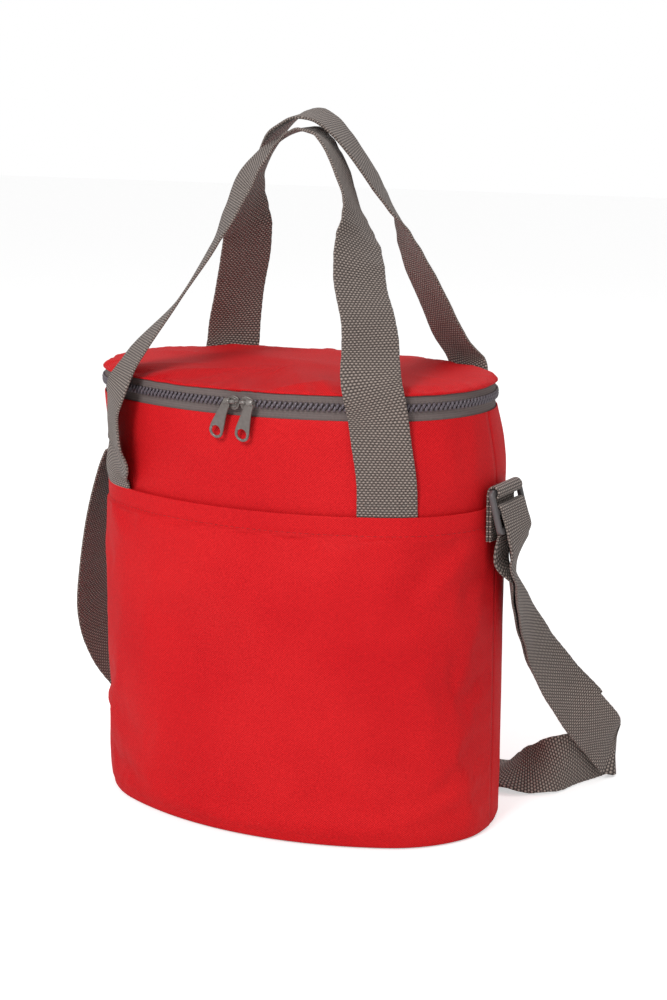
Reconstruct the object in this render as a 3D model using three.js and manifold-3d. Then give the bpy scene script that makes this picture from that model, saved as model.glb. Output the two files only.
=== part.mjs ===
// Insulated cooler bag: an oval, foam-walled fabric bag with a zipped lid, a slip pocket across the front,
// two webbing handles held up over the lid, and an adjustable webbing shoulder strap that lies behind it.
// Units are millimetres. The origin is the centre of the base on the floor, +Z is up, the front faces -Y.
import * as THREE from "three";
import Module from "manifold-3d";

const wasm = await Module();
wasm.setup();

// ---- driving dimensions -------------------------------------------------------------------------------
const HALF_LENGTH = 140; // half of the long side of the oval
const HALF_DEPTH = 90; // half of the short side of the oval
const END_RADIUS = 75; // radius of the two round ends
const WALL_TOP = 281.5; // top edge of the outer side fabric
const POCKET_TOP = 221; // hem of the front pocket
const FABRIC = 1.0; // coated polyester with its binding
const FOAM = 5.0; // insulation
const LINER = 0.8; // foil lining
const GAP = 0.3; // clearance kept between neighbouring layers
const BASE_TOP = 7.6; // top of the floor lining
const INNER_RIM = 272.5; // top of the wall insulation and lining

const TAPE = 0.8; // zip tape thickness
const TAPE_INSET = FABRIC + GAP; // the tape is sewn behind the wall fabric
const ZIP_LEVEL = 290; // mid line between the two rows of teeth
const TEETH_HEIGHT = 3.2; // height of one row of teeth
const TEETH_GAP = 0.6; // half of the slot between the rows
const TEETH_OUT = 0.6; // how far the teeth stand out of the oval
const TEETH_THICK = 1.6;
const LID_SEAM = 297.5; // where the lid fabric meets the upper zip tape
const LID_EDGE = 299; // top of the lid at its rim
const LID_DOME = 4; // rise of the lid at its middle
const HINGE_ARC = 150; // length of the back of the lid that is a fabric hinge instead of a zip

const WEBBING = 38; // handle and strap webbing width
const WEBBING_THICK = 1.8;
const TAIL_BOTTOM = 165; // lower end of the sewn-down handle ends
const HANDLE_BREAK = 223; // where the free part of each handle starts
const HANDLE_OFFSET = 2.4; // free webbing's mid plane off the side fabric

const SLIDER_LENGTH = 10;
const SLIDER_MEET = 6; // x where the two sliders meet when the lid is shut
const PULL_LENGTH = 27;
const PULL_WIDTH = 8.6;

const ADJUSTER_WIDTH = 47; // tri-glide frame along its bars
const ADJUSTER_PITCH = 12.5; // bar to bar
const ADJUSTER_THICK = 3.6;
const ADJUSTER_TOP = [147, 232]; // x and z of the top bar
const ADJUSTER_LEAN = 15; // degrees that the lower bar leans outward

const RED = 0xc8242a;
const GREY = 0x766c68;
const TAPE_GREY = 0x6d6365;
const METAL = 0x7d7875;
const PLASTIC = 0x4b4745;
const SILVER = 0xb9bcc0;
const FOAM_WHITE = 0xe6e3dc;

// ---- the oval -----------------------------------------------------------------------------------------
// Four tangent arcs: two long ones for the front and back, two of END_RADIUS for the ends.
const END_CENTRE = HALF_LENGTH - END_RADIUS;
const LONG_RADIUS =
  (END_CENTRE ** 2 + HALF_DEPTH ** 2 - END_RADIUS ** 2) / (2 * (HALF_DEPTH - END_RADIUS));
const LONG_CENTRE = LONG_RADIUS - HALF_DEPTH;
const LONG_ANGLE = Math.atan2(END_CENTRE, LONG_CENTRE);
const LONG_ARC = LONG_RADIUS * LONG_ANGLE;
const END_ARC = END_RADIUS * (Math.PI / 2 - LONG_ANGLE);
const QUARTER = LONG_ARC + END_ARC;

// Point of the oval, "inset" mm inside it, at distance s along it: s = 0 is the middle of the front,
// one QUARTER is the +X end, two are the middle of the back.
function ovalPoint(s, inset = 0) {
  const turns = Math.floor(s / (2 * QUARTER) + 0.5);
  const local = s - turns * 2 * QUARTER; // distance from the middle of the front or of the back
  const side = Math.sign(local) || 1;
  const along = Math.abs(local);
  let x;
  let y;
  if (along <= LONG_ARC) {
    const a = along / LONG_RADIUS;
    x = (LONG_RADIUS - inset) * Math.sin(a);
    y = LONG_CENTRE - (LONG_RADIUS - inset) * Math.cos(a);
  } else {
    const a = LONG_ANGLE + (along - LONG_ARC) / END_RADIUS;
    x = END_CENTRE + (END_RADIUS - inset) * Math.sin(a);
    y = -(END_RADIUS - inset) * Math.cos(a);
  }
  const flip = turns % 2 === 0 ? 1 : -1;
  return [flip * side * x, flip * y];
}

// The same stations are used by every layer, so that neighbouring layers stay parallel.
const LONG_STEPS = 6;
const END_STEPS = 7;
const STATIONS = [];
for (let quarter = 0; quarter < 4; quarter++) {
  const start = quarter * QUARTER;
  const parts = [
    [LONG_ARC, LONG_STEPS],
    [END_ARC, END_STEPS],
  ];
  if (quarter % 2) parts.reverse();
  let s = start;
  for (const [length, steps] of parts) {
    for (let i = 0; i < steps; i++) STATIONS.push(s + (length * i) / steps);
    s += length;
  }
}

function stationsBetween(s0, s1) {
  const list = [s0];
  for (let turn = -2; turn <= 2; turn++)
    for (const s of STATIONS) {
      const t = s + turn * 4 * QUARTER;
      if (t > s0 + 0.5 && t < s1 - 0.5) list.push(t);
    }
  list.push(s1);
  return list.sort((a, b) => a - b);
}

// ---- shape helpers --------------------------------------------------------------------------------------
function shapeOf(points, holes = []) {
  const shape = new THREE.Shape(points.map(([x, y]) => new THREE.Vector2(x, y)));
  for (const hole of holes)
    shape.holes.push(new THREE.Path(hole.map(([x, y]) => new THREE.Vector2(x, y))));
  return shape;
}

function prism(points, holes, z0, z1) {
  const geometry = new THREE.ExtrudeGeometry(shapeOf(points, holes), {
    depth: z1 - z0,
    bevelEnabled: false,
    steps: 1,
  });
  return geometry.translate(0, 0, z0);
}

// A wall that follows the oval from s0 to s1, between two insets that may vary along it.
function band(s0, s1, insetOut, insetIn, z0, z1) {
  const value = (inset, s) => (typeof inset === "function" ? inset(s) : inset);
  const list = stationsBetween(s0, s1);
  const outside = list.map((s) => ovalPoint(s, value(insetOut, s)));
  const inside = list.map((s) => ovalPoint(s, value(insetIn, s))).reverse();
  return prism([...outside, ...inside], [], z0, z1);
}

function ring(insetOut, insetIn, z0, z1) {
  const outside = STATIONS.map((s) => ovalPoint(s, insetOut));
  const inside = STATIONS.map((s) => ovalPoint(s, insetIn)).reverse();
  return prism(outside, [inside], z0, z1);
}

function disc(inset, z0, z1) {
  return prism(
    STATIONS.map((s) => ovalPoint(s, inset)),
    [],
    z0,
    z1,
  );
}

// A closed solid turned from a profile that starts and ends on the axis; each profile point holds the
// share of the oval it lies on, its inset and its height.
function turned(profile) {
  const positions = [];
  const index = [];
  const n = STATIONS.length;
  const rows = profile.map(([share, inset, z]) => {
    const first = positions.length / 3;
    if (share === 0) {
      positions.push(0, 0, z);
      return { first, pole: true };
    }
    for (const s of STATIONS) {
      const [x, y] = ovalPoint(s, inset);
      positions.push(share * x, share * y, z);
    }
    return { first, pole: false };
  });
  for (let r = 0; r + 1 < rows.length; r++)
    for (let i = 0; i < n; i++) {
      const j = (i + 1) % n;
      const [a, b] = [rows[r], rows[r + 1]];
      const [a0, a1] = a.pole ? [a.first, a.first] : [a.first + i, a.first + j];
      const [b0, b1] = b.pole ? [b.first, b.first] : [b.first + i, b.first + j];
      if (!a.pole) index.push(a0, b1, a1);
      if (!b.pole) index.push(a0, b0, b1);
    }
  const geometry = new THREE.BufferGeometry();
  geometry.setAttribute("position", new THREE.Float32BufferAttribute(positions, 3));
  geometry.setIndex(index);
  geometry.computeVertexNormals();
  return geometry;
}

// A strip of webbing: its mid line passes the control points, and its width follows the direction given
// at each of them. A control point is [x, y, z, wx, wy, wz].
function ribbon(control, width, thick, stepsPerSpan) {
  const steps = stepsPerSpan * (control.length - 1);
  const curve = new THREE.CatmullRomCurve3(
    control.map((p) => new THREE.Vector3(p[0], p[1], p[2])),
    false,
    "centripetal",
  );
  const acrossAt = (t) => {
    const place = t * (control.length - 1);
    const i = Math.min(Math.floor(place), control.length - 2);
    const f = place - i;
    const ease = f * f * (3 - 2 * f);
    const w = (k) => new THREE.Vector3(control[k][3], control[k][4], control[k][5]).normalize();
    return w(i).lerp(w(i + 1), ease);
  };
  const positions = [];
  for (let k = 0; k <= steps; k++) {
    const t = k / steps;
    const centre = curve.getPoint(t);
    const along = curve.getTangent(t);
    const across = acrossAt(t);
    across.addScaledVector(along, -across.dot(along)).normalize();
    const up = new THREE.Vector3().crossVectors(along, across);
    for (const [a, b] of [
      [-1, -1],
      [1, -1],
      [1, 1],
      [-1, 1],
    ]) {
      const p = centre
        .clone()
        .addScaledVector(across, (a * width) / 2)
        .addScaledVector(up, (b * thick) / 2);
      positions.push(p.x, p.y, p.z);
    }
  }
  const index = [0, 2, 1, 0, 3, 2];
  for (let k = 0; k < steps; k++)
    for (let c = 0; c < 4; c++) {
      const d = (c + 1) % 4;
      const [a, b, e, f] = [4 * k + c, 4 * k + d, 4 * k + 4 + c, 4 * k + 4 + d];
      index.push(a, b, f, a, f, e);
    }
  const last = 4 * steps;
  index.push(last, last + 1, last + 2, last, last + 2, last + 3);
  const geometry = new THREE.BufferGeometry();
  geometry.setAttribute("position", new THREE.Float32BufferAttribute(positions, 3));
  geometry.setIndex(index);
  geometry.computeVertexNormals();
  return geometry;
}

function toManifold(geometry) {
  const g = geometry.index ? geometry.toNonIndexed() : geometry;
  const position = g.getAttribute("position");
  const seen = new Map();
  const vertices = [];
  const triVerts = [];
  for (let i = 0; i < position.count; i++) {
    const p = [position.getX(i), position.getY(i), position.getZ(i)];
    const key = p.map((v) => Math.round(v * 1e4)).join();
    if (!seen.has(key)) {
      seen.set(key, vertices.length / 3);
      vertices.push(...p);
    }
    triVerts.push(seen.get(key));
  }
  return new wasm.Manifold(
    new wasm.Mesh({
      numProp: 3,
      vertProperties: new Float32Array(vertices),
      triVerts: new Uint32Array(triVerts),
    }),
  );
}

function toGeometry(solid) {
  const mesh = solid.getMesh();
  const geometry = new THREE.BufferGeometry();
  const positions = new Float32Array(mesh.numVert * 3);
  for (let i = 0; i < mesh.numVert; i++)
    positions.set(mesh.vertProperties.subarray(i * mesh.numProp, i * mesh.numProp + 3), i * 3);
  geometry.setAttribute("position", new THREE.BufferAttribute(positions, 3));
  geometry.setIndex([...mesh.triVerts]);
  return geometry;
}

const group = new THREE.Group();
function add(name, geometry, color, roughness = 0.85, metalness = 0) {
  const mesh = new THREE.Mesh(
    geometry,
    new THREE.MeshStandardMaterial({ color, roughness, metalness, flatShading: true }),
  );
  mesh.name = name;
  group.add(mesh);
  return mesh;
}

// ---- side walls, base and lining ---------------------------------------------------------------------
const SEAM = 0.25; // half of the gap at the two side seams
const FRONT = [-QUARTER + SEAM, QUARTER - SEAM];
const BACK = [QUARTER + SEAM, 3 * QUARTER - SEAM];
const FOAM_INSET = FABRIC + GAP;
const LINER_INSET = FOAM_INSET + FOAM + GAP;
const INSIDE = LINER_INSET + LINER;

add("base_panel", disc(0, 0, 1.2), RED);
add("base_foam", disc(FOAM_INSET, 1.5, 6.5), FOAM_WHITE);
add("base_liner", disc(FOAM_INSET, 6.8, BASE_TOP), SILVER, 0.35);
for (const [side, [s0, s1]] of [
  ["front", FRONT],
  ["back", BACK],
]) {
  add(side + "_panel", band(s0, s1, 0, FABRIC, 1.5, WALL_TOP), RED);
  add(side + "_foam", band(s0, s1, FOAM_INSET, FOAM_INSET + FOAM, BASE_TOP + GAP, INNER_RIM), FOAM_WHITE);
  add(side + "_liner", band(s0, s1, LINER_INSET, INSIDE, BASE_TOP + GAP, INNER_RIM), SILVER, 0.35);
}
const BINDING_WIDTH = 12;
for (const [side, s] of [
  ["right", QUARTER],
  ["left", -QUARTER],
])
  add(
    side + "_seam_binding",
    band(s - BINDING_WIDTH / 2, s + BINDING_WIDTH / 2, INSIDE + 0.5, INSIDE + 1.3, 22, INNER_RIM - 1),
    GREY,
  );
add("base_binding", ring(INSIDE + 0.5, INSIDE + 1.3, BASE_TOP + GAP, 20), GREY);
add("rim_binding", ring(TAPE_INSET, INSIDE, INNER_RIM + GAP, INNER_RIM + 1.1), GREY);

// ---- front pocket: it stands off the wall enough for the handle ends that run down inside it ---------
const POCKET_STAND = 2.9;
const POCKET_RAMP = 28;
function pocketInset(s) {
  const fromSeam = QUARTER - Math.abs(s);
  const t = Math.min(Math.max(fromSeam / POCKET_RAMP, 0), 1);
  return -(GAP + (POCKET_STAND - GAP) * t * t * (3 - 2 * t));
}
add(
  "front_pocket",
  band(FRONT[0], FRONT[1], (s) => pocketInset(s) - FABRIC, pocketInset, 0.6, POCKET_TOP),
  RED,
);

// ---- zip: a tape and a row of teeth on the bag, and the same on the lid --------------------------------
const HINGE_GAP = 2;
const ZIP_START = 2 * QUARTER + HINGE_ARC / 2 + HINGE_GAP - 4 * QUARTER;
const ZIP_END = 2 * QUARTER - HINGE_ARC / 2 - HINGE_GAP;
const STOP = 4; // length of each end stop
const LOWER_TEETH = [ZIP_LEVEL - TEETH_GAP - TEETH_HEIGHT, ZIP_LEVEL - TEETH_GAP];
const UPPER_TEETH = [ZIP_LEVEL + TEETH_GAP, ZIP_LEVEL + TEETH_GAP + TEETH_HEIGHT];
const TAPE_EDGE = 1.4; // the tapes end this far from the mid line
for (const [level, tape, teeth] of [
  ["lower", [INNER_RIM + 1.5, ZIP_LEVEL - TAPE_EDGE], LOWER_TEETH],
  ["upper", [ZIP_LEVEL + TAPE_EDGE, LID_EDGE - FABRIC - GAP], UPPER_TEETH],
]) {
  add(
    "zip_tape_" + level,
    band(ZIP_START, ZIP_END, TAPE_INSET, TAPE_INSET + TAPE, tape[0], tape[1]),
    TAPE_GREY,
  );
  add(
    "zip_teeth_" + level,
    band(ZIP_START + STOP + GAP, ZIP_END - STOP - GAP, -TEETH_OUT, TEETH_THICK - TEETH_OUT, teeth[0], teeth[1]),
    METAL,
    0.4,
    0.6,
  );
}
for (const [side, s0] of [
  ["left", ZIP_START],
  ["right", ZIP_END - STOP],
])
  add(
    side + "_zip_stop",
    band(s0, s0 + STOP, -TEETH_OUT - 0.4, TEETH_THICK - TEETH_OUT, LOWER_TEETH[0], LOWER_TEETH[1]),
    METAL,
    0.4,
    0.6,
  );
add(
  "lid_hinge_strip",
  band(
    2 * QUARTER - HINGE_ARC / 2,
    2 * QUARTER + HINGE_ARC / 2,
    TAPE_INSET,
    TAPE_INSET + TAPE,
    INNER_RIM + 1.5,
    LID_SEAM - GAP,
  ),
  RED,
);

// ---- lid ------------------------------------------------------------------------------------------------
// Dome heights: a parabola over the share of the oval.
const DOME_SHARES = [0.3, 0.55, 0.75, 0.9];
const domeRows = (edge, inset) =>
  DOME_SHARES.map((share) => [share, inset, edge + LID_DOME * (1 - share * share)]);
function domed(bottomEdge, topEdge, insetTop, skirt) {
  const top = [
    [0, 0, topEdge + LID_DOME],
    ...domeRows(topEdge, 0),
    [1, insetTop + 1.2, topEdge - 0.1],
    [1, insetTop, topEdge - 0.7],
  ];
  const under = [...domeRows(bottomEdge, 0).reverse(), [0, 0, bottomEdge + LID_DOME]];
  const rim = skirt
    ? [
        [1, insetTop, skirt.bottom],
        [1, insetTop + skirt.thick, skirt.bottom],
        [1, insetTop + skirt.thick, bottomEdge],
      ]
    : [[1, insetTop, bottomEdge]];
  // The profile runs out over the top, down the rim and back along the underside.
  return turned([...top, ...rim, ...under]);
}
const LID_FOAM_TOP = LID_EDGE - FABRIC - GAP;
add("lid_panel", domed(LID_EDGE - FABRIC, LID_EDGE, 0, { bottom: LID_SEAM, thick: 1.0 }), RED);
add("lid_foam", disc(4.6, LID_FOAM_TOP - 5.2, LID_FOAM_TOP - 0.4), FOAM_WHITE);
add("lid_liner", disc(4.6, LID_FOAM_TOP - 6.3, LID_FOAM_TOP - 5.5), SILVER, 0.35);
add("lid_binding", ring(3.2, 4.3, LID_FOAM_TOP - 6.3, LID_FOAM_TOP - 0.4), GREY);

// ---- zip sliders and pulls ------------------------------------------------------------------------------
// Each slider has an outer plate, an inner plate behind the tapes, and a thin post between the two rows of
// teeth. Its channel is open at the top, so the lid's row of teeth lifts out of it.
const PLATE = 1.4;
const PLATE_OUT = TEETH_OUT + 0.4;
const CROWN_Z = ZIP_LEVEL + 1.2;
const CROWN_OUT = PLATE_OUT + PLATE + 2.6;
function box(x0, x1, y0, y1, z0, z1) {
  return toManifold(
    new THREE.BoxGeometry(x1 - x0, y1 - y0, z1 - z0).translate(
      (x0 + x1) / 2,
      (y0 + y1) / 2,
      (z0 + z1) / 2,
    ),
  );
}
// Built at x = 0 with the oval's front at y = 0 and out along -Y, then turned about the arc's centre.
function atFront(geometry, x) {
  const turn = Math.asin(x / LONG_RADIUS);
  return geometry
    .translate(0, -LONG_RADIUS, 0)
    .rotateZ(turn)
    .translate(0, LONG_CENTRE, 0);
}
function sliderSolid(tail) {
  const h = SLIDER_LENGTH / 2;
  const plate = prism(
    [
      [-h, -4.6],
      [h, -3.6],
      [h, 3.6],
      [-h, 4.6],
    ],
    [],
    -PLATE / 2,
    PLATE / 2,
  );
  const upright = (g, out) =>
    toManifold(g.clone().rotateX(Math.PI / 2).translate(0, -out, ZIP_LEVEL));
  const outer = upright(plate, PLATE_OUT + PLATE / 2);
  const inner = box(-h, h, TAPE_INSET + TAPE + 0.4, TAPE_INSET + TAPE + 1.0, ZIP_LEVEL - 3.4, ZIP_LEVEL + 3.4);
  const post = box(-h, h * 0.2, -PLATE_OUT - 0.3, TAPE_INSET + TAPE + 0.6, ZIP_LEVEL - 0.28, ZIP_LEVEL + 0.28);
  // The crown is a small bridge that holds the pull: two feet and a round bar along the zip.
  const reach = -CROWN_OUT;
  const bar = toManifold(
    new THREE.CylinderGeometry(0.9, 0.9, 7.2, 10).rotateZ(Math.PI / 2).translate(0, reach, CROWN_Z),
  );
  let solid = outer.add(inner).add(post).add(bar);
  for (const x of [-3.1, 3.1])
    solid = solid.add(box(x - 0.6, x + 0.6, reach - 0.6, -PLATE_OUT - 0.4, CROWN_Z - 0.8, CROWN_Z + 0.8));
  const geometry = toGeometry(solid);
  return tail < 0 ? geometry : mirrored(geometry);
}
function mirrored(geometry) {
  geometry.scale(-1, 1, 1);
  const index = geometry.index.array;
  for (let i = 0; i < index.length; i += 3) [index[i + 1], index[i + 2]] = [index[i + 2], index[i + 1]];
  return geometry;
}
// A flat tab with a hole near its lower end; its rolled top turns round the crown's bar.
function pullSolid() {
  const half = PULL_WIDTH / 2;
  const holeCentre = -(PULL_LENGTH - half);
  const outline = [];
  for (let i = 0; i <= 12; i++) {
    const a = Math.PI + (Math.PI * i) / 12;
    outline.push([half * Math.cos(a), holeCentre + half * Math.sin(a)]);
  }
  outline.push([2.4, -3.2], [2.2, -0.4], [-2.2, -0.4], [-2.4, -3.2]);
  const hole = [];
  for (let i = 0; i < 16; i++) {
    const a = (-2 * Math.PI * i) / 16;
    hole.push([2.9 * Math.cos(a), holeCentre + 2.9 * Math.sin(a)]);
  }
  const tab = toManifold(prism(outline, [hole], -0.8, 0.8).rotateX(Math.PI / 2));
  const round = (radius, length) =>
    toManifold(new THREE.CylinderGeometry(radius, radius, length, 12).rotateZ(Math.PI / 2));
  return toGeometry(tab.add(round(2.1, 4.4)).subtract(round(1.25, 8)));
}
for (const [side, sign] of [
  ["left", -1],
  ["right", 1],
]) {
  const x = SLIDER_MEET + sign * (SLIDER_LENGTH / 2 + 0.5);
  add(side + "_slider", atFront(sliderSolid(sign), x), METAL, 0.4, 0.7);
  add(side + "_pull", atFront(pullSolid().translate(0, -CROWN_OUT, CROWN_Z), x), METAL, 0.4, 0.7);
}

// ---- handles ----------------------------------------------------------------------------------------------
// Distance along the oval of a point of the front with this x.
function alongFront(x) {
  const a = Math.asin(Math.min(Math.abs(x), LONG_RADIUS * Math.sin(LONG_ANGLE)) / LONG_RADIUS);
  return Math.sign(x) * LONG_RADIUS * a;
}
const HANDLE_X = 97;
const TAIL_GAP = 0.45;
for (const side of [-1, 1]) {
  const name = side < 0 ? "left" : "right";
  const s = alongFront(side * HANDLE_X);
  add(
    "front_handle_" + name + "_end",
    band(s - WEBBING / 2, s + WEBBING / 2, -TAIL_GAP - WEBBING_THICK, -TAIL_GAP, TAIL_BOTTOM, HANDLE_BREAK - 1.5),
    GREY,
  );
  const b = 2 * QUARTER - s;
  add(
    "back_handle_" + name + "_end",
    band(b - WEBBING / 2, b + WEBBING / 2, -TAIL_GAP - WEBBING_THICK, -TAIL_GAP, TAIL_BOTTOM, HANDLE_BREAK - 1.5),
    GREY,
  );
}
// The side fabric's y at x, moved out by the handle's offset.
const beside = (x, out = HANDLE_OFFSET) => {
  const [, y] = ovalPoint(alongFront(x), -out);
  return y;
};
const FRONT_HANDLE = [
  [-97, beside(-97), HANDLE_BREAK, 0.9, -0.43, 0],
  [-98, beside(-98, 6.5), 236, 0.78, -0.62, 0],
  [-99, -79.5, 256, 0.67, -0.73, -0.1],
  [-96, -80, 275, 0.66, -0.74, -0.1],
  [-91, -79, 293, 0.79, -0.61, -0.02],
  [-84, -71.5, 310, 0.74, -0.67, 0.04],
  [-62, -50, 350, 0.53, -0.84, 0.11],
  [-45, -35, 384, 0.57, -0.82, 0.05],
  [-37, -29, 404, 0.65, -0.76, -0.07],
  [-29, -24, 424, 0.7, -0.7, -0.12],
  [-18, -20, 440.5, 0.6, -0.79, -0.1],
  [-6, -15, 452, 0.35, -0.93, -0.1],
  [9, -13.5, 458, 0, -0.99, -0.05],
  [20, -15, 455.5, 0, -0.98, 0.15],
  [29, -17, 450, 0.03, -0.94, 0.32],
  [38, -20, 439, 0.06, -0.93, 0.35],
  [45, -24, 427, 0.1, -0.92, 0.37],
  [52, -28, 415, 0.12, -0.91, 0.4],
  [57, -31, 407, 0, -0.9, 0.44],
  [61, -35, 399, -0.15, -0.88, 0.42],
  [64, -40, 389, -0.4, -0.85, 0.3],
  [68, -47, 377, -0.53, -0.82, 0.2],
  [72, -53, 364, -0.57, -0.81, 0.14],
  [82, -62, 345, -0.6, -0.8, 0.06],
  [89, -68, 326, -0.7, -0.72, 0],
  [94.5, -74.5, 306, -0.85, -0.52, -0.05],
  [97, beside(97, 3), 284, -0.9, -0.43, 0],
  [97, beside(97, 2.6), 262, -0.9, -0.43, 0],
  [97, beside(97), HANDLE_BREAK, -0.9, -0.43, 0],
];
const BACK_HANDLE = [
  [-95, -beside(-95), HANDLE_BREAK, -0.9, -0.43, 0],
  [-95, -beside(-95, 2.6), 262, -0.9, -0.43, 0],
  [-95, -beside(-95, 3), 284, -0.9, -0.43, 0],
  [-94, 76, 304, -0.8, -0.6, 0],
  [-86, 66, 341, -0.6, -0.8, -0.04],
  [-75, 55, 366, -0.63, -0.77, -0.1],
  [-67, 45, 385, -0.58, -0.78, -0.2],
  [-63, 38, 396, -0.38, -0.87, -0.3],
  [-58, 31, 408, -0.12, -0.93, -0.34],
  [-51, 25, 421, 0.08, -0.94, -0.32],
  [-43, 22, 433, 0.14, -0.95, -0.28],
  [-34, 18.5, 445, 0.12, -0.96, -0.2],
  [-22, 12.5, 457, 0.05, -0.97, -0.18],
  [-9, 5, 464, 0, -0.98, -0.18],
  [5, 2, 468, 0.02, -0.99, -0.12],
  [17, 3, 464.5, 0.15, -0.98, -0.08],
  [29, 5.5, 453.5, 0.25, -0.96, -0.1],
  [38, 9.5, 440.5, 0.33, -0.93, -0.16],
  [46, 15.5, 426, 0.38, -0.9, -0.22],
  [52.5, 22.5, 412, 0.47, -0.85, -0.23],
  [57, 29, 401, 0.58, -0.79, -0.18],
  [60, 32.5, 391, 0.66, -0.75, -0.05],
  [63, 37, 379, 0.74, -0.66, 0.03],
  [68, 45.5, 360, 0.82, -0.57, 0.05],
  [74.5, 57.5, 337, 0.84, -0.54, 0.05],
  [82, 67.5, 318, 0.86, -0.5, 0.08],
  [90, 76, 302, 0.89, -0.43, 0.08],
  [95, -beside(95, 3.4), 286, 0.9, -0.43, 0],
  [95, -beside(95, 2.6), 262, 0.9, -0.43, 0],
  [95, -beside(95), HANDLE_BREAK, 0.9, -0.43, 0],
];
add("front_handle_arch", ribbon(FRONT_HANDLE, WEBBING, WEBBING_THICK, 3), GREY);
add("back_handle_arch", ribbon(BACK_HANDLE, WEBBING, WEBBING_THICK, 3), GREY);

// ---- shoulder strap -----------------------------------------------------------------------------------------
// A point beside the tri-glide: "down" along its plate from the top bar, "out" off its mid plane.
const LEAN = THREE.MathUtils.degToRad(ADJUSTER_LEAN);
function byAdjuster(down, out) {
  return [
    ADJUSTER_TOP[0] + down * Math.sin(LEAN) + out * Math.cos(LEAN),
    ADJUSTER_TOP[1] - down * Math.cos(LEAN) + out * Math.sin(LEAN),
  ];
}
function roundedRectangle(cx, cy, width, height, r, steps = 4) {
  const points = [];
  for (const [sx, sy, start] of [
    [1, -1, -90],
    [1, 1, 0],
    [-1, 1, 90],
    [-1, -1, 180],
  ])
    for (let i = 0; i <= steps; i++) {
      const a = THREE.MathUtils.degToRad(start + (90 * i) / steps);
      points.push([
        cx + sx * (width / 2 - r) + r * Math.cos(a),
        cy + sy * (height / 2 - r) + r * Math.sin(a),
      ]);
    }
  return points;
}
function adjuster() {
  const bar = 4.4;
  const slot = ADJUSTER_PITCH - bar;
  const frame = prism(
    roundedRectangle(0, -ADJUSTER_PITCH, ADJUSTER_WIDTH, 2 * ADJUSTER_PITCH + bar, 3),
    [1, 2].map((k) =>
      roundedRectangle(0, -(k - 0.5) * ADJUSTER_PITCH, ADJUSTER_WIDTH - 7.6, slot, 0.9, 2).reverse(),
    ),
    -ADJUSTER_THICK / 2,
    ADJUSTER_THICK / 2,
  );
  // Local x becomes +Y, local y becomes up the plate, local z becomes outward.
  return frame
    .applyMatrix4(
      new THREE.Matrix4().makeBasis(
        new THREE.Vector3(0, 1, 0),
        new THREE.Vector3(-Math.sin(LEAN), 0, Math.cos(LEAN)),
        new THREE.Vector3(Math.cos(LEAN), 0, Math.sin(LEAN)),
      ),
    )
    .translate(ADJUSTER_TOP[0], 0, ADJUSTER_TOP[1]);
}
add("strap_adjuster", adjuster(), PLASTIC, 0.45);

const STRAP_THICK = 1.6;
const SIDE_LEG = HALF_LENGTH + 3; // mid plane of webbing sewn flat to the side
const [TOP_X, TOP_Z] = ADJUSTER_TOP;
const across = [0, 1, 0];
const flat = (x, z) => [x, 0, z, ...across];
const LOOP_RADIUS = 4.0;
const LOOP_BOTTOM = 200;
const loopPoint = (degrees) => {
  const a = THREE.MathUtils.degToRad(degrees);
  return flat(TOP_X + LOOP_RADIUS * Math.cos(a), TOP_Z + LOOP_RADIUS * Math.sin(a));
};
add(
  "adjuster_loop",
  ribbon(
    [
      flat(SIDE_LEG, LOOP_BOTTOM),
      flat(SIDE_LEG, 218),
      ...[180, 140, 100, 60, 20, -20, -65, -110].map(loopPoint),
      flat(SIDE_LEG + 2.3, 219),
      flat(SIDE_LEG + 2.1, 208),
      flat(SIDE_LEG + 2.1, LOOP_BOTTOM),
    ],
    WEBBING - 0.6,
    STRAP_THICK,
    4,
  ),
  GREY,
);
add(
  "strap_anchor",
  ribbon([flat(-SIDE_LEG, 180), flat(-SIDE_LEG, 202), flat(-SIDE_LEG, 223.6)], WEBBING, STRAP_THICK, 1),
  GREY,
);

const LEG = ADJUSTER_THICK / 2 + 0.5 + STRAP_THICK / 2;
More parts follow.
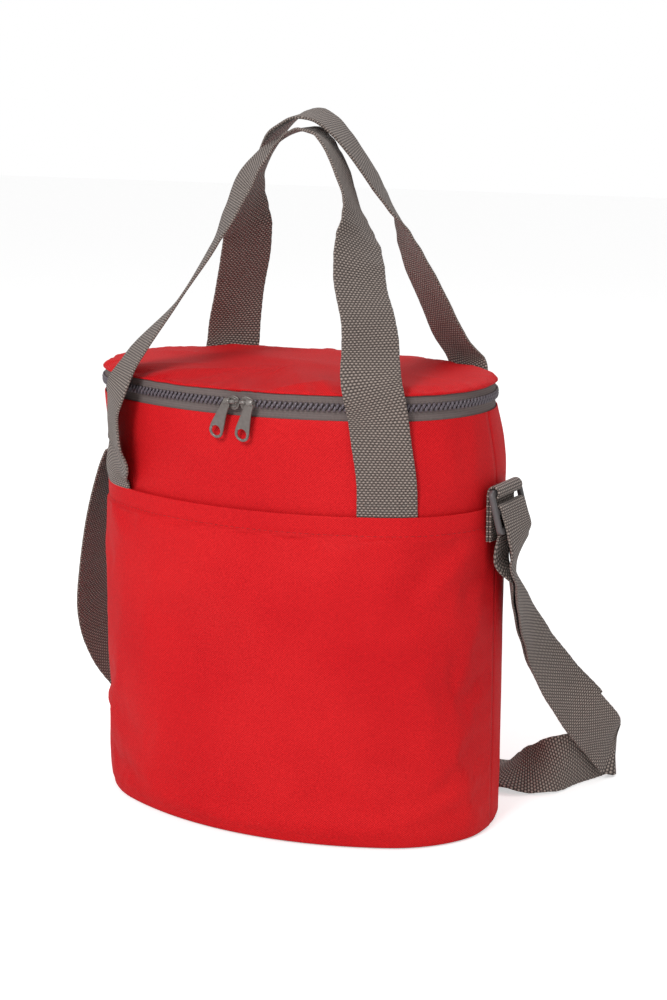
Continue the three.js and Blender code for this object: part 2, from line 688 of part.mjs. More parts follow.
// A point beside the middle bar, which the strap folds over.
const nearBar = (down, out) => {
  const [x, z] = byAdjuster(ADJUSTER_PITCH + down, out);
  return flat(x, z);
};
const STRAP = [
  nearBar(14, -LEG),
  nearBar(3, -LEG),
  nearBar(-1.2, -LEG),
  nearBar(-3.2, -2.4),
  nearBar(-3.95, 0),
  nearBar(-3.2, 2.4),
  nearBar(-1.2, LEG),
  nearBar(3, LEG),
  nearBar(15, LEG + 0.5),
  [157.3, 2, 194, -0.15, 0.98, 0.05],
  [150.5, 9, 178, -0.47, 0.76, 0.44],
  [147.5, 21, 160, -0.4, 0.75, 0.52],
  [147, 41, 135, -0.23, 0.79, 0.57],
  [150, 60, 109, -0.02, 0.81, 0.58],
  [158, 81, 80, 0.17, 0.77, 0.61],
  [169, 100, 54, 0.35, 0.62, 0.7],
  [174.5, 118, 36, 0.3, 0.35, 0.88],
  [176, 132, 22, 0.05, 0.05, 1],
  [177.5, 136.5, 20.5, 0, 0, 1],
  [174, 138.5, 20, 0, 0, 1],
  [167, 121, 20, 0, 0, 1],
  [155, 95, 19.8, 0.05, 0.3, 0.95],
  [137, 84, 14.6, -0.1, 0.7, 0.7],
  [119, 81, 12.2, 0, 0.92, 0.38],
  [98, 92, 6, 0.3, 0.94, 0.08],
  [50, 110, 1.8, 0.1, 1, -0.02],
  [0, 114, 1.4, 0, 1, 0],
  [-50, 112, 1.8, 0.08, 1, 0],
  [-92, 104, 5, 0.2, 0.98, 0.05],
  [-131, 90, 12, 0.3, 0.9, 0.3],
  [-157, 72, 22, 0.32, 0.85, 0.4],
  [-171, 50, 46, 0.3, 0.82, 0.45],
  [-179, 32, 68, 0.2, 0.84, 0.5],
  [-182.5, 18, 90, 0.1, 0.87, 0.48],
  [-182, 8, 114, 0.05, 0.93, 0.35],
  [-177, 4, 148, 0, 0.98, 0.2],
  [-169, 2, 182, 0, 1, 0.05],
  [-160.5, 0.5, 208, 0, 1, 0],
  [-153.5, 0, 226, 0, 1, 0],
  [-148.5, 0, 234, 0, 1, 0],
  [-144.2, 0, 231, 0, 1, 0],
  [-SIDE_LEG, 0, 224.2, 0, 1, 0],
];
add("strap_webbing", ribbon(STRAP, WEBBING, STRAP_THICK, 5), GREY);

// The doubled end of the strap, which comes off the inner side of the adjuster and lies under the strap.
const TAIL_DROP = 3;
const TAIL_SHIFT = 3;
const underStrap = (i) => {
  const at = (k) => new THREE.Vector3(...STRAP[k].slice(0, 3));
  const along = at(i + 1).sub(at(i - 1)).normalize();
  const way = new THREE.Vector3(...STRAP[i].slice(3));
  way.addScaledVector(along, -way.dot(along)).normalize();
  const up = new THREE.Vector3().crossVectors(along, way);
  const p = at(i).addScaledVector(up, -TAIL_DROP).addScaledVector(way, TAIL_SHIFT);
  return [p.x, p.y, p.z, ...STRAP[i].slice(3)];
};
const TAIL = [
  nearBar(15.2, -LEG),
  [149, 0.5, 194, 0, 1, 0],
  ...[10, 11, 12, 13, 14, 15].map(underStrap),
];
add("strap_tail", ribbon(TAIL, WEBBING - 1, STRAP_THICK, 6), GREY);

export default group;
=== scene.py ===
"""Looks of an oval insulated cooler bag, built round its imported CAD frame.

Lengths are in millimetres in the geometry code and become metres when a mesh is made.
+Z is up, the front faces -Y and +X is to the right of someone facing the front.
"""

import math

import bmesh
import bpy
import numpy as np
from mathutils import Matrix, Vector, noise


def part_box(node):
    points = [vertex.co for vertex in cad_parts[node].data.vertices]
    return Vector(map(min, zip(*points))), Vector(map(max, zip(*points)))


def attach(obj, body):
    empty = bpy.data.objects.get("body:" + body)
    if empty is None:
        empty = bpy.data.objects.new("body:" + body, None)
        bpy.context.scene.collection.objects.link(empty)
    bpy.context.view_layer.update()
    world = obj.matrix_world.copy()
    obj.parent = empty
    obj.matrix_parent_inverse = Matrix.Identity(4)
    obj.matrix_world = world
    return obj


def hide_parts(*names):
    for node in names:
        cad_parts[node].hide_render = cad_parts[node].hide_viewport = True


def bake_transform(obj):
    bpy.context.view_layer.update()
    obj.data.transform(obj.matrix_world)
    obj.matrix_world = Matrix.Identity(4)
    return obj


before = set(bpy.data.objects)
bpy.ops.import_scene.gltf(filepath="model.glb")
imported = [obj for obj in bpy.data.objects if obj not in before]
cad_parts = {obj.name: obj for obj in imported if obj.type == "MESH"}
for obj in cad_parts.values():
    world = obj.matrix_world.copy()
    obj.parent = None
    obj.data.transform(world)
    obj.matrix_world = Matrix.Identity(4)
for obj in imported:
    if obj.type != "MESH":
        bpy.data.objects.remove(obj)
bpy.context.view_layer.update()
MM = 0.001


def box_mm(node):
    """Lowest and highest corner of a CAD node, in millimetres."""
    low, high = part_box(node)
    return np.array(low) / MM, np.array(high) / MM


# ---- sizes taken from the frame ------------------------------------------------------------------
HALF_LENGTH, HALF_DEPTH = box_mm("base_panel")[1][:2]
WALL_TOP = box_mm("front_panel")[1][2]
POCKET_TOP = box_mm("front_pocket")[1][2]
INNER_RIM = box_mm("front_foam")[1][2]
TAPE_BOTTOM = box_mm("zip_tape_lower")[0][2]
UPPER_TAPE_TOP = box_mm("zip_tape_upper")[1][2]
LOWER_TEETH_BOTTOM = box_mm("zip_teeth_lower")[0][2]
UPPER_TEETH_TOP = box_mm("zip_teeth_upper")[1][2]
ZIP_LEVEL = (LOWER_TEETH_BOTTOM + UPPER_TEETH_TOP) / 2
LID_SEAM = box_mm("lid_panel")[0][2]
LID_LINING = box_mm("lid_liner")[0][2]
FLOOR_TOP = box_mm("base_liner")[1][2]
STRAP_TOP = box_mm("strap_anchor")[1][2]
TAIL_BOTTOM = box_mm("front_handle_left_end")[0][2]
HANDLE_BREAK = box_mm("front_handle_arch")[0][2]
ANCHOR_BOTTOM = box_mm("strap_anchor")[0][2]
LOOP_BOTTOM = box_mm("adjuster_loop")[0][2]

# ---- sizes of things that the frame holds only as plain solids -----------------------------------
END_RADIUS = 75.0
WEBBING = 38.0
WEBBING_THICK = 1.8
STRAP_THICK = 1.6
FABRIC = 1.0
CLOTH_FRAMES = 18
TAPE_INSET = 1.3
TOOTH_PITCH = 3.4
CHAIN = 5.2
HINGE_ARC = 150.0
LID_RISE = 0.5
HEM_STITCH = 12.0

END_CENTRE = HALF_LENGTH - END_RADIUS
LONG_RADIUS = (END_CENTRE**2 + HALF_DEPTH**2 - END_RADIUS**2) / (2 * (HALF_DEPTH - END_RADIUS))
LONG_CENTRE = LONG_RADIUS - HALF_DEPTH
LONG_ANGLE = math.atan2(END_CENTRE, LONG_CENTRE)
LONG_ARC = LONG_RADIUS * LONG_ANGLE
QUARTER = LONG_ARC + END_RADIUS * (math.pi / 2 - LONG_ANGLE)


def smooth_step(low, high, value):
    t = np.clip((np.asarray(value, float) - low) / (high - low), 0.0, 1.0)
    return t * t * (3 - 2 * t)


def oval(s, inset=0.0):
    """x, y and outward normal of the bag's oval at distance s along it.

    s = 0 is the middle of the front, one QUARTER is the +X end, two are the middle of the back.
    """
    s = np.asarray(s, float)
    turns = np.floor(s / (2 * QUARTER) + 0.5)
    local = s - turns * 2 * QUARTER
    side = np.where(local < 0, -1.0, 1.0)
    along = np.abs(local)
    on_long = along <= LONG_ARC
    angle = np.where(on_long, along / LONG_RADIUS, LONG_ANGLE + (along - LONG_ARC) / END_RADIUS)
    radius = np.where(on_long, LONG_RADIUS, END_RADIUS) - inset
    centre_x = np.where(on_long, 0.0, END_CENTRE)
    centre_y = np.where(on_long, LONG_CENTRE, 0.0)
    flip = np.where(np.mod(turns, 2) == 0, 1.0, -1.0)
    x = flip * side * (centre_x + radius * np.sin(angle))
    y = flip * (centre_y - radius * np.cos(angle))
    return x, y, flip * side * np.sin(angle), -flip * np.cos(angle)


def oval_place(x, y):
    """Distance along the oval of the point nearest to (x, y)."""
    front = y <= 0
    angle = math.atan2(abs(x), LONG_CENTRE + abs(y))
    if angle <= LONG_ANGLE:
        along = LONG_RADIUS * angle
    else:
        along = LONG_ARC + END_RADIUS * (math.atan2(abs(x) - END_CENTRE, abs(y)) - LONG_ANGLE)
    along = math.copysign(along, x)
    return along if front else 2 * QUARTER - along


def along_front(x):
    """Distance along the oval of the point of the front with this x."""
    return LONG_RADIUS * math.asin(max(-1, min(1, x / LONG_RADIUS)))


def beside(x, out):
    """y of the front's surface at x, moved out by a distance."""
    return float(oval(along_front(x), -out)[1])


def ripple(values, seed, size):
    """Smooth noise between about -1 and 1 for a list of (u, v) in millimetres."""
    return np.array([noise.noise(Vector((u / size, v / size, seed))) for u, v in values])


def folds(u, v, lines):
    """Height of soft folds; each line is (u, v) of its two ends, its half width and its height, in mm."""
    u = np.asarray(u, float)
    v = np.asarray(v, float)
    total = np.zeros_like(u)
    for u0, v0, u1, v1, width, height in lines:
        du, dv = u1 - u0, v1 - v0
        share = np.clip(((u - u0) * du + (v - v0) * dv) / (du * du + dv * dv), 0.0, 1.0)
        away = np.hypot(u - u0 - share * du, v - v0 - share * dv)
        total += height * np.exp(-((away / width) ** 2)) * (0.35 + 0.65 * np.sin(math.pi * share))
    return total


# ---- mesh building -------------------------------------------------------------------------------
def mesh_object(name, verts, faces, uvs=None):
    """An object from vertices in millimetres; uvs holds one (u, v) per face corner."""
    mesh = bpy.data.meshes.new(name)
    mesh.from_pydata([tuple(v) for v in np.asarray(verts, float) * MM], [], faces)
    if uvs is not None:
        layer = mesh.uv_layers.new(name="weave")
        layer.data.foreach_set("uv", np.asarray(uvs, np.float32).reshape(-1))
    mesh.polygons.foreach_set("use_smooth", [True] * len(mesh.polygons))
    mesh.update()
    obj = bpy.data.objects.new(name, mesh)
    bpy.context.scene.collection.objects.link(obj)
    return obj


def outward(obj):
    """Makes the faces of a closed mesh point outward."""
    bm = bmesh.new()
    bm.from_mesh(obj.data)
    bmesh.ops.recalc_face_normals(bm, faces=bm.faces)
    bm.to_mesh(obj.data)
    bm.free()
    return obj


def grid(points, uv, closed):
    """Vertices, quads and face-corner uvs of a grid of points; uv has one more column if closed."""
    rows, cols = points.shape[:2]
    faces = []
    corners = []
    for r in range(rows - 1):
        for c in range(cols if closed else cols - 1):
            d = (c + 1) % cols
            faces.append((r * cols + c, r * cols + d, (r + 1) * cols + d, (r + 1) * cols + c))
            corners += [uv[r, c], uv[r, c + 1], uv[r + 1, c + 1], uv[r + 1, c]]
    return points.reshape(-1, 3), faces, corners


def thicken(obj, thickness):
    """Gives a sheet a thickness inward, as part of its mesh."""
    modifier = obj.modifiers.new("thickness", "SOLIDIFY")
    modifier.thickness = thickness * MM
    modifier.offset = -1
    modifier.use_even_offset = True
    apply_modifiers(obj)
    return obj


def apply_modifiers(obj):
    graph = bpy.context.evaluated_depsgraph_get()
    mesh = bpy.data.meshes.new_from_object(obj.evaluated_get(graph))
    obj.modifiers.clear()
    obj.data = mesh


def sheet(name, points, uv, closed=False, thickness=FABRIC):
    obj = mesh_object(name, *grid(points, uv, closed))
    if thickness:
        thicken(obj, thickness)
    return obj


def wall_sheet(name, s0, s1, profile, slack=None, thickness=FABRIC, step=4.0):
    """A sheet that follows the oval: profile rows are (out, z), slack(s, z) moves it outward."""
    columns = max(4, int(abs(s1 - s0) / step))
    s = np.linspace(s0, s1, columns + 1)
    profile = np.asarray(profile, float)
    points = np.zeros((len(profile), len(s), 3))
    uv = np.zeros((len(profile), len(s), 2))
    travelled = 0.0
    for r, (out, z) in enumerate(profile):
        if r:
            travelled += math.dist(profile[r], profile[r - 1])
        extra = slack(s, np.full_like(s, z)) if slack else 0.0
        x, y, nx, ny = oval(s, -out)
        points[r, :, 0] = x + nx * extra
        points[r, :, 1] = y + ny * extra
        points[r, :, 2] = z
        uv[r, :, 0] = s
        uv[r, :, 1] = travelled
    return sheet(name, points, uv, thickness=thickness)


def levels(z0, z1, step):
    count = max(2, int(round((z1 - z0) / step)))
    return np.linspace(z0, z1, count + 1)


def puff(obj, pinned, pressure, growth, cap, bending=0.6):
    """Lets a sheet swell like sewn cloth: pinned vertices stay, the others move by up to cap millimetres."""
    scene = bpy.context.scene
    obj.vertex_groups.new(name="sewn").add([int(i) for i in pinned], 1.0, "REPLACE")
    modifier = obj.modifiers.new("cloth", "CLOTH")
    cloth = modifier.settings
    cloth.vertex_group_mass = "sewn"
    cloth.quality = 6
    cloth.mass = 0.2
    cloth.tension_stiffness = 25.0
    cloth.compression_stiffness = 25.0
    cloth.shear_stiffness = 8.0
    cloth.bending_stiffness = bending
    cloth.use_pressure = True
    cloth.uniform_pressure_force = pressure
    cloth.shrink_min = -growth
    cloth.effector_weights.gravity = 0.0
    modifier.collision_settings.use_collision = False
    modifier.point_cache.frame_start = 1
    modifier.point_cache.frame_end = CLOTH_FRAMES
    for step in range(1, CLOTH_FRAMES + 1):
        scene.frame_set(step)
    count = len(obj.data.vertices)
    before = np.zeros(count * 3)
    obj.data.vertices.foreach_get("co", before)
    swollen = obj.evaluated_get(bpy.context.evaluated_depsgraph_get())
    after = np.zeros(count * 3)
    swollen.data.vertices.foreach_get("co", after)
    move = (after - before).reshape(-1, 3)
    size = np.linalg.norm(move, axis=1)
    share = cap * MM / np.maximum(cap * MM, size)
    obj.modifiers.clear()
    obj.vertex_groups.clear()
    obj.data.vertices.foreach_set("co", before + (move * share[:, None]).reshape(-1))
    obj.data.update()
    scene.frame_set(1)
    return obj


LEAN = 3.0
LEAN_WAY = (math.cos(math.radians(29)), math.sin(math.radians(29)))


def settle(obj):
    """Leans the soft bag a little: its lower part goes one way and its zip and lid go the other."""
    count = len(obj.data.vertices)
    flat = np.zeros(count * 3)
    obj.data.vertices.foreach_get("co", flat)
    points = flat.reshape(-1, 3)
    z = points[:, 2] / MM
    sway = 1 - 2 * smooth_step(235, ZIP_LEVEL, z) + smooth_step(LID_SEAM + 12, LID_SEAM + 50, z)
    for axis in (0, 1):
        points[:, axis] += LEAN * MM * LEAN_WAY[axis] * sway
    obj.data.vertices.foreach_set("co", points.reshape(-1))
    obj.data.update()


def finish_piece(obj, body, material, slot, *nodes):
    """Gives a piece its material, its body and the CAD nodes that it stands for; slot is not used."""
    settle(obj)
    obj.data.materials.clear()
    obj.data.materials.append(material)
    if body:
        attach(obj, body)
    if nodes:
        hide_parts(*nodes)
    return obj


# ---- node materials ------------------------------------------------------------------------------
class Nodes:
    """A short way to write a node material."""

    def __init__(self, name):
        self.material = bpy.data.materials.new(name)
        self.material.use_nodes = True
        self.tree = self.material.node_tree
        self.shader = self.tree.nodes["Principled BSDF"]

    def add(self, kind, **settings):
        node = self.tree.nodes.new(kind)
        for key, value in settings.items():
            setattr(node, key, value)
        return node

    def put(self, value, socket):
        if isinstance(value, bpy.types.NodeSocket):
            self.tree.links.new(value, socket)
        else:
            socket.default_value = value

    def math(self, operation, a, b=0.0, c=0.0):
        node = self.add("ShaderNodeMath", operation=operation)
        for value, socket in zip((a, b, c), node.inputs):
            self.put(value, socket)
        return node.outputs[0]

    def uv(self):
        """The two coordinates of the weave, in millimetres."""
        split = self.add("ShaderNodeSeparateXYZ")
        self.put(self.add("ShaderNodeUVMap", uv_map="weave").outputs[0], split.inputs[0])
        return split.outputs[0], split.outputs[1]

    def wave(self, value, period, phase=0.0):
        """Cosine of a coordinate with this period, between 0 and 1."""
        turned = self.math("MULTIPLY_ADD", value, 2 * math.pi / period, phase)
        return self.math("MULTIPLY_ADD", self.math("COSINE", turned), 0.5, 0.5)

    def noise(self, scale, detail=3.0, vector=None, roughness=0.5):
        """Noise over object space; scale is in features per metre."""
        node = self.add("ShaderNodeTexNoise")
        node.inputs["Scale"].default_value = scale
        node.inputs["Detail"].default_value = detail
        node.inputs["Roughness"].default_value = roughness
        if vector is None:
            vector = self.add("ShaderNodeTexCoord").outputs["Object"]
        self.put(vector, node.inputs["Vector"])
        return node.outputs["Fac"]

    def combined(self, x, y, scale):
        """A vector of two coordinates, each multiplied by its scale."""
        node = self.add("ShaderNodeCombineXYZ")
        self.put(self.math("MULTIPLY", x, scale[0]), node.inputs[0])
        self.put(self.math("MULTIPLY", y, scale[1]), node.inputs[1])
        return node.outputs[0]

    def ramp(self, value, low, high):
        node = self.add("ShaderNodeMapRange", clamp=True)
        self.put(value, node.inputs["Value"])
        node.inputs["From Min"].default_value = low
        node.inputs["From Max"].default_value = high
        return node.outputs["Result"]

    def mix(self, factor, a, b):
        node = self.add("ShaderNodeMix", data_type="RGBA")
        self.put(factor, node.inputs["Factor"])
        for value, key in ((a, "A"), (b, "B")):
            socket = [s for s in node.inputs if s.name == key and s.type == "RGBA"][0]
            self.put(value, socket)
        return [s for s in node.outputs if s.type == "RGBA"][0]

    def bump(self, height, distance, strength=1.0, normal=None):
        """distance is the height in millimetres of a full step."""
        node = self.add("ShaderNodeBump")
        node.inputs["Strength"].default_value = strength
        node.inputs["Distance"].default_value = distance * MM
        self.put(height, node.inputs["Height"])
        if normal is not None:
            self.put(normal, node.inputs["Normal"])
        return node.outputs[0]

    def set(self, **values):
        for key, value in values.items():
            self.put(value, self.shader.inputs[key.replace("_", " ")])
        return self.material


def srgb(red, green, blue):
    """Linear colour with alpha from 0-255 screen values."""
    linear = [((v / 255 + 0.055) / 1.055) ** 2.4 if v > 10 else v / 255 / 12.92 for v in (red, green, blue)]
    return (*linear, 1.0)


def make_polyester():
    """Coated red polyester: a fine staggered weave with uneven threads and faint, broad shading."""
    n = Nodes("red_polyester")
    u, v = n.uv()
    warp = n.math("COSINE", n.math("MULTIPLY", u, math.pi / 0.85))
    weft = n.math("COSINE", n.math("MULTIPLY", v, math.pi / 0.75))
    weave = n.math("MULTIPLY_ADD", n.math("MULTIPLY", warp, weft), 0.5, 0.5)
    slub = n.noise(1.0, 2.0, n.combined(n.math("ADD", u, v), n.math("SUBTRACT", u, v), (0.5, 1.0)))
    grain = n.noise(900.0, 2.0)
    uneven = n.math("MULTIPLY_ADD", grain, 0.8, n.math("MULTIPLY_ADD", slub, 0.6, -0.5))
    tone = n.math("MULTIPLY_ADD", weave, 0.85, n.math("ADD", uneven, -0.16))
    shade = n.ramp(n.noise(11.0, 3.0), 0.3, 0.75)
    deep = n.mix(tone, srgb(172, 8, 20), srgb(230, 32, 38))
    clear = n.mix(tone, srgb(190, 16, 24), srgb(240, 44, 46))
    colour = n.mix(shade, deep, clear)
    bump = n.bump(weave, 0.14, 0.9)
    bump = n.bump(slub, 0.12, 0.7, bump)
    return n.set(
        Base_Color=colour,
        Roughness=n.math("MULTIPLY_ADD", weave, -0.12, 0.66),
        Sheen_Weight=0.01,
        Sheen_Roughness=0.5,
        Sheen_Tint=srgb(255, 110, 100),
        Specular_IOR_Level=0.1,
        Normal=bump,
    )


def make_webbing(name, light, dark):
    """Basket-woven webbing: light raised picks in staggered rows with dark gaps between them."""
    n = Nodes(name)
    u, v = n.uv()
    rows = n.math("COSINE", n.math("MULTIPLY", u, math.pi / 1.65))
    columns = n.math("COSINE", n.math("MULTIPLY", v, math.pi / 1.3))
    picks = n.math("MULTIPLY_ADD", n.math("MULTIPLY", rows, columns), 0.5, 0.5)
    weft = n.wave(u, 1.65)
    weave = n.math("MULTIPLY_ADD", picks, 0.6, n.math("MULTIPLY", weft, 0.4))
    fuzz = n.noise(1500.0, 2.0)
    tone = n.math("MULTIPLY_ADD", n.ramp(weave, 0.3, 0.95), 0.95, n.math("MULTIPLY_ADD", fuzz, 0.4, -0.12))
    colour = n.mix(tone, dark, light)
    worn = n.noise(30.0, 3.0)
    colour = n.mix(n.math("MULTIPLY", n.ramp(worn, 0.35, 0.75), 0.15), colour, srgb(96, 84, 80))
    bump = n.bump(weave, 0.75, 1.0)
    bump = n.bump(fuzz, 0.10, 0.4, bump)
    return n.set(
        Base_Color=colour,
        Roughness=n.math("MULTIPLY_ADD", weave, -0.15, 0.75),
        Sheen_Weight=0.1,
        Specular_IOR_Level=0.35,
        Normal=bump,
    )


def make_tape():
    """Zip tape: fine ribs across, a few cords along."""
    n = Nodes("zip_tape")
    u, v = n.uv()
    ribs = n.wave(u, 0.9)
    cords = n.wave(v, 1.5)
    weave = n.math("MULTIPLY_ADD", ribs, 0.6, n.math("MULTIPLY", cords, 0.4))
    tone = n.math("MULTIPLY_ADD", weave, 0.6, n.math("MULTIPLY", n.noise(700.0), 0.4))
    colour = n.mix(tone, srgb(88, 78, 77), srgb(128, 116, 113))
    return n.set(Base_Color=colour, Roughness=0.8, Specular_IOR_Level=0.3, Normal=n.bump(weave, 0.2, 0.7))


def make_teeth():
    n = Nodes("zip_teeth")
    tone = n.noise(420.0, 2.0)
    colour = n.mix(tone, srgb(78, 70, 78), srgb(112, 103, 110))
    return n.set(
        Base_Color=colour,
        Roughness=n.math("MULTIPLY_ADD", n.noise(900.0), 0.2, 0.28),
        Normal=n.bump(n.noise(1200.0), 0.05, 0.3),
    )


def make_zip_metal():
    """Painted die-cast metal with rubbed edges."""
    n = Nodes("zip_metal")
    edge = n.ramp(n.add("ShaderNodeNewGeometry").outputs["Pointiness"], 0.5, 0.62)
    rubbed = n.math("MULTIPLY", edge, n.ramp(n.noise(500.0, 4.0), 0.35, 0.7))
    colour = n.mix(n.noise(160.0), srgb(104, 97, 93), srgb(122, 114, 110))
    colour = n.mix(n.math("MULTIPLY", rubbed, 0.5), colour, srgb(190, 186, 182))
    return n.set(
        Base_Color=colour,
        Metallic=0.35,
        Roughness=n.math("MULTIPLY_ADD", n.noise(350.0), 0.2, 0.3),
        Normal=n.bump(n.noise(1600.0, 2.0), 0.04, 0.35),
    )


def make_buckle():
    """Moulded plastic with a fine spark texture."""
    n = Nodes("buckle_plastic")
    colour = n.mix(n.noise(60.0), srgb(72, 68, 68), srgb(92, 87, 88))
    edge = n.ramp(n.add("ShaderNodeNewGeometry").outputs["Pointiness"], 0.5, 0.6)
    colour = n.mix(n.math("MULTIPLY", edge, 0.35), colour, srgb(130, 126, 128))
    return n.set(
        Base_Color=colour,
        Roughness=n.math("MULTIPLY_ADD", n.noise(800.0), 0.15, 0.36),
        Normal=n.bump(n.noise(2200.0, 3.0), 0.05, 0.5),
    )


def make_lining():
    """Foil-faced lining with crinkles."""
    n = Nodes("silver_lining")
    crinkle = n.noise(70.0, 6.0, roughness=0.6)
    facets = n.add("ShaderNodeTexVoronoi", feature="DISTANCE_TO_EDGE")
    facets.inputs["Scale"].default_value = 55.0
    n.put(n.add("ShaderNodeTexCoord").outputs["Object"], facets.inputs["Vector"])
    bump = n.bump(crinkle, 1.6, 0.5)
    bump = n.bump(n.ramp(facets.outputs["Distance"], 0.0, 0.12), 0.5, 0.3, bump)
    return n.set(
        Base_Color=n.mix(crinkle, srgb(188, 190, 194), srgb(226, 228, 231)),
        Metallic=0.75,
        Roughness=n.math("MULTIPLY_ADD", n.noise(200.0), 0.25, 0.25),
        Normal=bump,
    )


def make_foam():
    n = Nodes("foam")
    cells = n.noise(900.0, 3.0)
    colour = n.mix(cells, srgb(222, 218, 208), srgb(240, 238, 232))
    return n.set(Base_Color=colour, Roughness=0.9, Normal=n.bump(cells, 0.3, 0.6))


def make_thread(name, light, dark):
    n = Nodes(name)
    twist = n.noise(2500.0, 2.0)
    return n.set(Base_Color=n.mix(twist, dark, light), Roughness=0.7, Normal=n.bump(twist, 0.1, 0.6))


POLYESTER_LOOK = make_polyester()
WEBBING_LOOK = make_webbing("grey_webbing", srgb(184, 168, 158), srgb(28, 15, 15))
BINDING_LOOK = make_webbing("grey_binding", srgb(110, 102, 98), srgb(62, 57, 55))
TAPE_LOOK = make_tape()
TEETH_LOOK = make_teeth()
ZIP_METAL_LOOK = make_zip_metal()
BUCKLE_LOOK = make_buckle()
LINING_LOOK = make_lining()
FOAM_LOOK = make_foam()
RED_THREAD_LOOK = make_thread("red_thread", srgb(206, 30, 36), srgb(150, 12, 20))
GREY_THREAD_LOOK = make_thread("grey_thread", srgb(132, 124, 118), srgb(84, 77, 73))


# ---- stitches ------------------------------------------------------------------------------------
def stitch_run(path, normals, length=3.0, gap=1.0, radius=0.28):
    """Vertices and faces of a row of stitches along a path of points with normals, in millimetres."""
    path = np.asarray(path, float)
    normals = np.asarray(normals, float)
    reach = np.r_[0.0, np.cumsum(np.linalg.norm(np.diff(path, axis=0), axis=1))]
    verts = []
    faces = []
    sides, rings = 6, 5
    start = gap / 2
    while start + length <= reach[-1]:
        here = len(verts)
        for k in range(rings):
            f = k / (rings - 1)
            at = start + f * length
            centre = np.array([np.interp(at, reach, path[:, i]) for i in range(3)])
            ahead = np.array([np.interp(at + 0.3, reach, path[:, i]) for i in range(3)])
            behind = np.array([np.interp(at - 0.3, reach, path[:, i]) for i in range(3)])
            up = np.array([np.interp(at, reach, normals[:, i]) for i in range(3)])
            up /= np.linalg.norm(up)
            tangent = ahead - behind
            tangent /= np.linalg.norm(tangent)
            side = np.cross(tangent, up)
            swell = math.sin(math.pi * (0.12 + 0.76 * f))
            centre = centre + up * radius * (swell * 1.1 - 0.5)
            for j in range(sides):
                a = 2 * math.pi * j / sides
                verts.append(centre + radius * swell * (math.cos(a) * side + math.sin(a) * up))
        for k in range(rings - 1):
            for j in range(sides):
                m = (j + 1) % sides
                a = here + k * sides
                faces.append((a + j, a + m, a + sides + m, a + sides + j))
        faces.append(tuple(here + j for j in range(sides))[::-1])
        faces.append(tuple(here + (rings - 1) * sides + j for j in range(sides)))
        start += length + gap
    return verts, faces


def stitches(name, runs, body, material, slot, **settings):
    verts = []
    faces = []
    for path, normals in runs:
        v, f = stitch_run(path, normals, **settings)
        faces += [tuple(i + len(verts) for i in face) for face in f]
        verts += v
    obj = outward(mesh_object(name, verts, faces))
    return finish_piece(obj, body, material, slot)


# ---- walls, pocket and base ----------------------------------------------------------------------
WALL_FOLDS = [
    (-118, 286, -108, 262, 5, 1.1),
    (-64, 287, -70, 268, 4, 0.7),
    (-20, 287, -14, 272, 4, 0.6),
    (46, 287, 38, 266, 4.5, 0.9),
    (72, 287, 76, 262, 4, 0.8),
    (112, 287, 106, 250, 6, 1.2),
    (138, 284, 146, 238, 7, 1.3),
    (166, 280, 158, 232, 6, 1.0),
    (-150, 280, -158, 240, 6, 1.0),
    (-90, 262, 20, 248, 12, 0.7),
]


def wall_slack(seed):
    """How far a padded wall's fabric stands off, in mm: long soft swells and folds, calmer at its edges."""

    def slack(s, z):
        pairs = list(zip(np.atleast_1d(s), np.atleast_1d(z)))
        swell = 0.7 + 0.9 * ripple(pairs, seed, 95.0) + 0.25 * ripple(pairs, seed + 5, 28.0)
        calm = smooth_step(0, 40, z) * smooth_step(0, 22, WALL_TOP - z)
        edge = smooth_step(0, 6, WALL_TOP - z)
        beside_front = np.mod(np.asarray(s) + QUARTER, 2 * QUARTER) - QUARTER
        return np.maximum(0.05, swell * calm + 0.05 + folds(beside_front, z, WALL_FOLDS) * edge)

    return slack


def build_walls():
    """Front and back outer panels, which turn under at the base and in at the zip."""
    seam = 0.25
    spans = {"front": (-QUARTER + seam, QUARTER - seam), "back": (QUARTER + seam, 3 * QUARTER - seam)}
    for side, (s0, s1) in spans.items():
        profile = [(-1.6, 1.7), (-0.5, 2.2), (0.0, 3.6)]
        profile += [(0.0, z) for z in levels(7.0, WALL_TOP - 3.0, 6.0)]
        profile += [(0.0, WALL_TOP - 1.2), (-0.15, WALL_TOP - 0.3), (-0.5, WALL_TOP)]
        obj = wall_sheet(side + "_outer_panel", s0, s1, profile, wall_slack(3.0 if side == "front" else 9.0))
        finish_piece(obj, "shell", POLYESTER_LOOK, "red_fabric", side + "_panel")


POCKET_FOLDS = [
    (-168, 196, -128, 158, 7, 1.7),
    (-170, 120, -132, 96, 8, 1.6),
    (-166, 52, -120, 74, 8, 1.6),
    (-120, 208, -92, 186, 6, 1.1),
    (60, 200, 156, 212, 5, 1.5),
    (150, 196, 118, 158, 7, 1.8),
    (168, 170, 146, 96, 7, 2.3),
    (160, 88, 128, 40, 8, 2.1),
    (132, 150, 96, 132, 9, 1.5),
    (140, 30, 100, 18, 6, 1.6),
    (-20, 150, 70, 172, 14, 0.8),
    (-80, 24, -30, 14, 7, 0.7),
]
POCKET_STAND = 2.9
POCKET_RAMP = 28.0


def pocket_out(s):
    """How far the pocket's inner face stands off the oval: nothing at the side seams."""
    t = smooth_step(0.0, POCKET_RAMP, QUARTER - np.abs(s))
    return 0.3 + (POCKET_STAND - 0.3) * t


